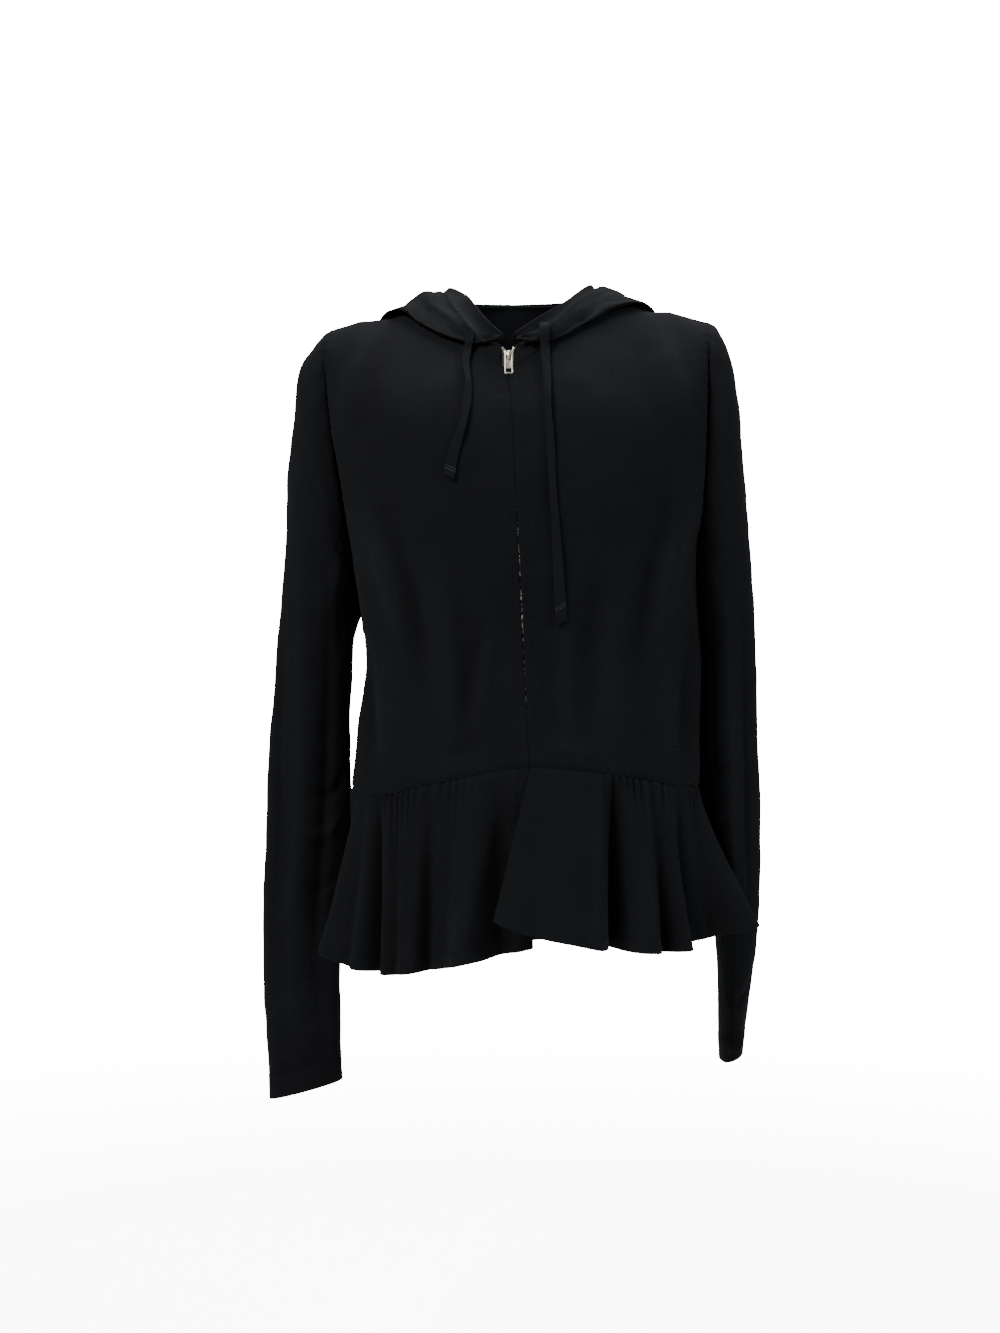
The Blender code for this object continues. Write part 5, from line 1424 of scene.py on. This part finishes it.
def bent_strip(name, path, width, thick, place):
    """A narrow strip of metal bent along a path of (y, z)."""
    stops = through(np.array([(0.0, y, z) for y, z in path]), 22)
    ways = np.gradient(stops, axis=0)
    ways /= np.linalg.norm(ways, axis=1, keepdims=True)
    up = np.cross(ways, (1.0, 0.0, 0.0))
    ring = [(math.cos(a), math.sin(a)) for a in np.linspace(0, 2 * math.pi, 12, endpoint=False)]
    points = [p + np.array((1.0, 0, 0)) * math.copysign(abs(c) ** 0.4, c) * width / 2
              + n * math.copysign(abs(s) ** 0.4, s) * thick / 2 for p, n in zip(stops, up) for c, s in ring]
    faces = [(i * 12 + j, i * 12 + (j + 1) % 12, (i + 1) * 12 + (j + 1) % 12, (i + 1) * 12 + j)
             for i in range(len(stops) - 1) for j in range(12)]
    faces += [tuple(range(11, -1, -1)), tuple(range((len(stops) - 1) * 12, len(stops) * 12))]
    mesh = bpy.data.meshes.new(name)
    mesh.from_pydata([tuple(p) for p in points], [], faces)
    mesh.transform(place)
    return mesh


def one_object(name, meshes, material):
    """Joins meshes into one object, merges doubles and points its faces outwards."""
    build = bmesh.new()
    for mesh in meshes:
        build.from_mesh(mesh)
    bmesh.ops.remove_doubles(build, verts=build.verts, dist=1e-6)
    bmesh.ops.recalc_face_normals(build, faces=build.faces)
    made = bpy.data.meshes.new(name)
    build.to_mesh(made)
    build.free()
    made.materials.clear()
    made.materials.append(material)
    for polygon in made.polygons:
        polygon.material_index = 0
    made.shade_smooth()
    made.set_sharp_from_angle(angle=math.radians(50))
    garment_pieces[name] = placed(name, made)


HALF_SHIELD = [(0.0, 0.0036), (0.0009, 0.0034), (0.0017, 0.0046), (0.0027, 0.0053), (0.0034, 0.0050),
               (0.0037, 0.0040), (0.0036, 0.0018), (0.0030, -0.0010), (0.0026, -0.0030), (0.0025, -0.0050),
               (0.0021, -0.0053), (0.0, -0.0053)]
shield = HALF_SHIELD + [(-x, y) for x, y in HALF_SHIELD[-2:0:-1]]
PLATE, INSIDE = 0.0011, 0.0028                      # the slider's plates and the room between them
meshes = [plate("slider_plate", [shield], PLATE, 0.00035,
                slider_place @ Matrix.Translation((0, depth, 0)))
          for depth in (-(PLATE + INSIDE) / 2, (PLATE + INSIDE) / 2)]
meshes.append(bent_strip("post", [(-0.0018, 0.0035), (0.0, 0.0035), (0.0018, 0.0035)], 0.0026, 0.0028,
                         slider_place))
FACE = -(PLATE + INSIDE) / 2 - PLATE / 2
meshes.append(bent_strip("bridge", [(FACE + 0.0003, 0.0040), (FACE - 0.0014, 0.0039), (FACE - 0.0027, 0.0028),
                                    (FACE - 0.00285, 0.0006), (FACE - 0.0027, -0.0016),
                                    (FACE - 0.0014, -0.0027), (FACE + 0.0003, -0.0028)],
                         0.0020, 0.0009, slider_place))
one_object("zip_slider_body", meshes, nickel)

TAB_WIDE, TAB_LONG, TAB_THICK, TAB_ARM = 0.0068, 0.0180, 0.0010, 0.0014
low, high = TAB_ARM / 2 + 0.0002 - TAB_LONG, TAB_ARM / 2 + 0.0002
outline = rounded(TAB_WIDE, TAB_LONG, 0.0009, (0.0, (low + high) / 2))
eye = rounded(TAB_WIDE - 2 * TAB_ARM, 0.0058, 0.0007, (0.0, -0.0058 / 2 - TAB_ARM * 0.35))
slot = rounded(0.0050, 0.0034, 0.0006, (0.0, low + 0.0012 + 0.0017))
one_object("zip_pull", [plate("pull", [outline, eye, slot], TAB_THICK, 0.0003, tab_place)], nickel)

STOP_DROP = 0.0026                # metres: the stops rest on the slider's shoulders when the zip is shut
meshes = []
for side in (RIGHT, LEFT):
    low_corner, high_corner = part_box("zip_stop_right" if side == RIGHT else "zip_stop_left")
    spot = (Vector(low_corner) + Vector(high_corner)) / 2 - Vector((side * 0.0006, 0.0, STOP_DROP))
    place = Matrix.Translation(spot) @ Matrix.Rotation(side * 0.42, 4, "Y")
    meshes.append(bent_strip("stop", [(0.0, -0.0022), (-0.0002, 0.0), (0.0, 0.0022)], 0.0019, 0.0014, place))
one_object("zip_top_stops", meshes, nickel)

# %% [markdown]
# ## The drawstring
# Its two ends hang from the casing down the fronts. Each is a strip of the same jersey, folded and sewn into
# a flat tie, so it twists and narrows where it turns on edge. The end is turned in and stitched on a slant.
# Each tie follows its own measured route and lies on the cloth under it.

# %% Drawstring ties
TIE_THICK = 0.0022
TIE_SLIM = 0.82                  # the folded strip is this much narrower than it was cut
TIES = {   # width in metres and twist in degrees at shares of the way down
    "drawcord_right": {"width": [(0.0, 0.0085), (0.15, 0.0080), (0.34, 0.0066), (0.45, 0.0085),
                                 (0.62, 0.0078), (0.80, 0.0098), (1.0, 0.0112)],
                       "twist": [(0.0, 6), (0.2, -14), (0.34, 34), (0.48, 4), (0.66, -24),
                                  (0.84, 8), (1.0, -6)],
                       "slant": -0.35},
    "drawcord_left": {"width": [(0.0, 0.0098), (0.10, 0.0094), (0.24, 0.0078), (0.32, 0.0058), (0.42, 0.0074),
                                (0.60, 0.0078), (0.75, 0.0092), (0.90, 0.0108), (1.0, 0.0120)],
                      "twist": [(0.0, -6), (0.14, 12), (0.30, -52), (0.42, -12), (0.58, 20),
                                 (0.74, -10), (1.0, 5)],
                      "slant": 0.40},
}
TIE_WORN = 0.75                   # how faded the handled ties are


def wall_from_tube(name, tube):
    """A closed jersey tube from rings of points, with its ends filled."""
    rows, columns = tube.shape[:2]
    faces = [(i * columns + j, i * columns + (j + 1) % columns, (i + 1) * columns + (j + 1) % columns,
              (i + 1) * columns + j) for i in range(rows - 1) for j in range(columns)]
    faces += [tuple(range(columns - 1, -1, -1)), tuple(range((rows - 1) * columns, rows * columns))]
    mesh = bpy.data.meshes.new(name)
    mesh.from_pydata(tube.reshape(-1, 3).tolist(), [], faces)
    mesh.validate()
    flat = np.stack([run(tube, 1), run(tube, 0)], axis=-1).reshape(-1, 2)
    cloth_fields(mesh, flat, np.full(rows * columns, TIE_WORN))
    one_object(name, [mesh], jersey)


under_ties = np.concatenate([(surfaces[n] + outward[n] * JERSEY_WALL / 2).reshape(-1, 3)
                             for n in ("front_right", "front_left", "hood_right", "hood_left")])
under_ties = under_ties[under_ties[:, 1] < 0]
tie_path, tie_length, tie_sides = {}, {}, {}
for name, route in CORDS.items():
    look = TIES[name]
    path = through([(x, 0.0, z) for x, z in route], 110)
    share = np.linspace(0, 1, len(path))
    width = spline(*np.array(look["width"]).T, share) * TIE_SLIM
    twist = np.radians(spline(*np.array(look["twist"]).T, share))
    for k, point in enumerate(path):
        near = np.hypot(under_ties[:, 0] - point[0], under_ties[:, 2] - point[2]) < 0.0042
        point[1] = under_ties[near, 1].min() if near.any() else path[k - 1, 1]
    for _ in range(3):
        path[1:-1, 1] = (path[:-2, 1] + 2 * path[1:-1, 1] + path[2:, 1]) / 4
    path[:, 1] -= TIE_THICK / 2 + 0.0004 + np.abs(np.sin(twist)) * width * 0.36
    way = np.gradient(path, axis=0)
    way /= np.linalg.norm(way, axis=1, keepdims=True)
    wide = np.cross(way, (0.0, -1.0, 0.0))
    wide /= np.linalg.norm(wide, axis=1, keepdims=True)
    thick = np.cross(wide, way)
    wide, thick = (wide * np.cos(twist)[:, None] + thick * np.sin(twist)[:, None],
                   thick * np.cos(twist)[:, None] - wide * np.sin(twist)[:, None])
    ring = np.linspace(0, 2 * math.pi, 20, endpoint=False)
    sides = np.sign(np.cos(ring)) * np.abs(np.cos(ring)) ** 0.75
    dip = 1 - 0.28 * np.exp(-(np.cos(ring) / 0.3) ** 2)
    crown = np.sign(np.sin(ring)) * np.abs(np.sin(ring)) ** 0.8 * dip
    ends = np.clip(np.minimum(np.arange(len(path)), np.arange(len(path))[::-1]) / 2.0, 0, 1)[:, None, None]
    flat_way = wide[:, None] * sides[None, :, None] * width[:, None, None] / 2
    thick_way = thick[:, None] * crown[None, :, None] * TIE_THICK / 2
    tube = path[:, None] + flat_way * (0.9 + 0.1 * ends) + thick_way * (0.45 + 0.55 * ends)
    lean_end = np.clip((share - 0.93) / 0.07, 0, 1)[:, None, None]
    tube = tube + way[:, None] * (sides * look["slant"])[None, :, None] * width[:, None, None] / 2 * lean_end
    wall_from_tube(name + "_tie", tube)
    tie_path[name], tie_sides[name] = path, (wide, thick, width)
    tie_length[name] = float(np.linalg.norm(np.diff(path, axis=0), axis=1).sum())
    print(name, "is", round(tie_length[name] * 1000), "mm long")

# %% [markdown]
# ## Stitches
# Every visible line of sewing is real thread. A lockstitch shows as short raised dashes in a shallow groove,
# 3 mm apart. One node tree makes any such line: dashes turned along it, at the pitch that it is given. The
# rows follow the finished cloth, so they sink into its folds with it.

# %% Stitches
STITCH_PITCH, STITCH_LONG, STITCH_THICK = 0.0030, 0.0021, 0.00042      # metres
STITCH_LIFT = STITCH_THICK * 0.35          # from the cloth's face to the middle of the thread
stitch_tree, given = new_tree("lockstitch", [("Pitch", STITCH_PITCH), ("Long", STITCH_LONG),
                                             ("Thick", STITCH_THICK)])
marks = marks_along(stitch_tree, given)
ball = add(stitch_tree, "GeometryNodeMeshUVSphere", {"Segments": 6, "Rings": 4, "Radius": 0.5}).outputs[0]
size = add(stitch_tree, "ShaderNodeCombineXYZ", {0: given["Thick"], 1: given["Thick"], 2: given["Long"]})
dash = add(stitch_tree, "GeometryNodeTransform", {"Geometry": ball, "Scale": size.outputs[0]}).outputs[0]
repeated(stitch_tree, {"Points": marks.outputs[0], "Instance": dash, "Rotation": marks.outputs["Rotation"]},
         given["Material"])


def stitch_lines(name, lines, pitch=STITCH_PITCH, material=thread):
    """One object with a row of stitches along each line of (points, outward)."""
    item = polylines(name, [points + ways * STITCH_LIFT for points, ways in lines])
    grown(item, stitch_tree, {"Material": material, "Pitch": pitch})


def line_at(name, distance, axis, from_end=False, wall=JERSEY_WALL):
    """The line on a panel's outer face, at a distance from an end column (axis 1) or an end row (axis 0)."""
    points, ways = surfaces[name], outward[name]
    if axis == 0:
        points, ways = points.swapaxes(0, 1), ways.swapaxes(0, 1)
    if from_end:
        points, ways = points[:, ::-1], ways[:, ::-1]
    away = run(points, 1)
    line, square = [], []
    for k in range(len(points)):
        line.append([np.interp(distance, away[k], (points[k] + ways[k] * wall / 2)[:, c]) for c in range(3)])
        square.append([np.interp(distance, away[k], ways[k][:, c]) for c in range(3)])
    return np.array(line), np.array(square)


stitch_lines("placket_stitches", [line_at("front_right", TOPSTITCH, 1, wall=THICK_HEM),
                                  line_at("front_left", TOPSTITCH, 1, wall=THICK_HEM)])
stitch_lines("casing_stitches", [line_at("hood_right", CASING, 1, from_end=True, wall=THICK_HEM),
                                 line_at("hood_left", CASING, 1, from_end=True, wall=THICK_HEM)])
stitch_lines("peplum_hem_stitches", [line_at(n, HEM_STITCH, 0, from_end=True, wall=THICK_HEM)
                                     for n in ("peplum_front_right", "peplum_front_left", "peplum_back")])
stitch_lines("waist_stitches", [line_at(n, 0.0034, 0) for n in ("front_right", "front_left", "back")])
stitch_lines("cuff_stitches", [line_at(n, CUFF_HEM, 0, from_end=True, wall=JERSEY_WALL * 1.3)
                               for n in ("sleeve_right", "sleeve_left")])
lines = []
for name, (wide, thick, width) in tie_sides.items():
    path = tie_path[name]
    tip = path[-6] + thick[-6] * TIE_THICK * 0.48
    ends = [tip + wide[-6] * width[-6] * s + (path[-1] - path[-8]) / 8 * s * 6 * TIES[name]["slant"]
            for s in (-0.42, 0.42)]
    for row in (0.0, 0.0022):
        back = (path[-8] - path[-1]) / np.linalg.norm(path[-8] - path[-1]) * row
        steps = np.linspace(0, 1, 8)[:, None]
        lines.append((ends[0] * (1 - steps) + ends[1] * steps + back, np.repeat(thick[-6:-5], 8, axis=0)))
# the tie ends are sewn with the paler thread, a painted highlight
stitch_lines("tie_end_stitches", lines, pitch=0.0014, material=tack_thread_painted_highlight)

# %% [markdown]
# ## Carried-over pieces
# The tapes and the small box at the zip's foot keep their plain shapes, which are right, and get their real
# finishes.

# %% Finishes on the plain pieces that stay
KEPT = {"zip_tape_right": tape_cloth, "zip_tape_left": tape_cloth, "zip_box": nickel}
for name, finish in KEPT.items():
    item = frame["nodes"][name]
    for place in item.material_slots:
        place.material = finish
    if not item.material_slots:
        item.data.materials.append(finish)
print("kept:", sorted(KEPT))

# %% [markdown]
# ## Who rides on what
# Each new piece moves with a body, and the plain pieces that it stands for are hidden.

# %% Bodies and hidden plain pieces
GARMENT, TAB = "garment", "pull_tab"
STANDS_FOR = {f"jersey_{n}": [n] for n in ("front_right", "front_left", "back", "sleeve_right", "sleeve_left",
                                           "hood_right", "hood_left", "peplum_front_right",
                                           "peplum_front_left", "peplum_back")}
STANDS_FOR.update({"drawcord_right_tie": ["drawcord_right"], "drawcord_left_tie": ["drawcord_left"],
                   "zip_teeth": ["zip_chain"], "zip_slider_body": ["zip_slider"], "zip_pull": ["pull_tab"],
                   "zip_top_stops": ["zip_stop_right", "zip_stop_left"]})
for name, item in garment_pieces.items():
    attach(item, TAB if name == "zip_pull" else GARMENT)
    if name in STANDS_FOR:
        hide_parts(*STANDS_FOR[name])

for name in CORDS:
    start = [float(v) for v in tie_path[name][0]]

# %% [markdown]
# ## Studio
# A white floor far below and a white room, bright only to the eye so that they don't wash out the black.
# The cloth is lit by a large soft light from the upper left, a cooler one from the right, one from above and
# behind and a touch from below. Light that grazes black cloth gives each fold one bright and one dark side.

# %% Floor and lights
FLOOR_Z, FLOOR_RADIUS = -0.95, 3.2
ring = [(FLOOR_RADIUS * math.cos(a), FLOOR_RADIUS * math.sin(a), FLOOR_Z)
        for a in np.linspace(0, 2 * math.pi, 96, endpoint=False)]
mesh = bpy.data.meshes.new("studio_floor")
mesh.from_pydata(ring, [], [tuple(range(len(ring)))])
floor = placed("studio_floor", mesh)
paint, tree, shader = shader_start("pale_studio_paint")
place = add(tree, "ShaderNodeTexCoord").outputs["Object"]
flat_place = add(tree, "ShaderNodeVectorMath", {0: place, 1: (1.0, 1.0, 0.0)},
                 operation="MULTIPLY").outputs[0]
radius = add(tree, "ShaderNodeVectorMath", {0: flat_place}, operation="LENGTH").outputs["Value"]
fade = add(tree, "ShaderNodeMapRange", {0: radius, 1: 0.9, 2: 2.8, 3: 1.0, 4: 0.0}).outputs[0]
shader.inputs["Base Color"].default_value = linear("#f7f7f6")
shader.inputs["Roughness"].default_value = 0.7
tree.links.new(fade, shader.inputs["Alpha"])
floor_seen = add(tree, "ShaderNodeLightPath").outputs["Is Camera Ray"]
floor_glow = add(tree, "ShaderNodeMapRange", {0: floor_seen, 3: 0.0, 4: 9.0}).outputs[0]
shader.inputs["Emission Color"].default_value = linear("#ffffff")
tree.links.new(floor_glow, shader.inputs["Emission Strength"])
mesh.materials.append(paint)

room = bpy.data.worlds.new("pale_room")
bpy.context.scene.world = room
room.use_nodes = True
tree = room.node_tree
background = tree.nodes["Background"]
seen = add(tree, "ShaderNodeLightPath").outputs["Is Camera Ray"]
strength = add(tree, "ShaderNodeMapRange", {0: seen, 3: 0.20, 4: 24.0}).outputs[0]
background.inputs["Color"].default_value = linear("#fdfdfd")
tree.links.new(strength, background.inputs["Strength"])

for name, spot, aim, size, power, tint in (
        ("key_light", (-1.1, -1.4, 1.3), (0.0, 0.0, -0.10), 1.0, 82.0, "#ffffff"),
        ("side_light", (1.9, -0.9, 0.9), (0.0, 0.0, -0.2), 0.9, 44.0, "#eef3ff"),
        ("top_light", (0.2, 0.6, 1.9), (0.0, 0.0, -0.2), 1.2, 50.0, "#ffffff"),
        ("low_fill", (-0.6, -2.0, -0.7), (0.0, 0.0, -0.4), 1.2, 2.0, "#ffffff")):
    data = bpy.data.lights.new(name, "AREA")
    data.shape, data.size, data.energy, data.color = "DISK", size, power, linear(tint)[:3]
    item = placed(name, data)
    item.location = spot
    item.rotation_euler = (Vector(aim) - Vector(spot)).to_track_quat("-Z", "Y").to_euler()

# %% [markdown]
# ## Triangle count
# The triangles of all the new pieces are counted. The finished garment may stand a
# little proud of the plain model, never much.

# %% Triangle count
total = sum(sum(len(p.vertices) - 2 for p in item.data.polygons) for item in garment_pieces.values())
print("triangles in all:", total)
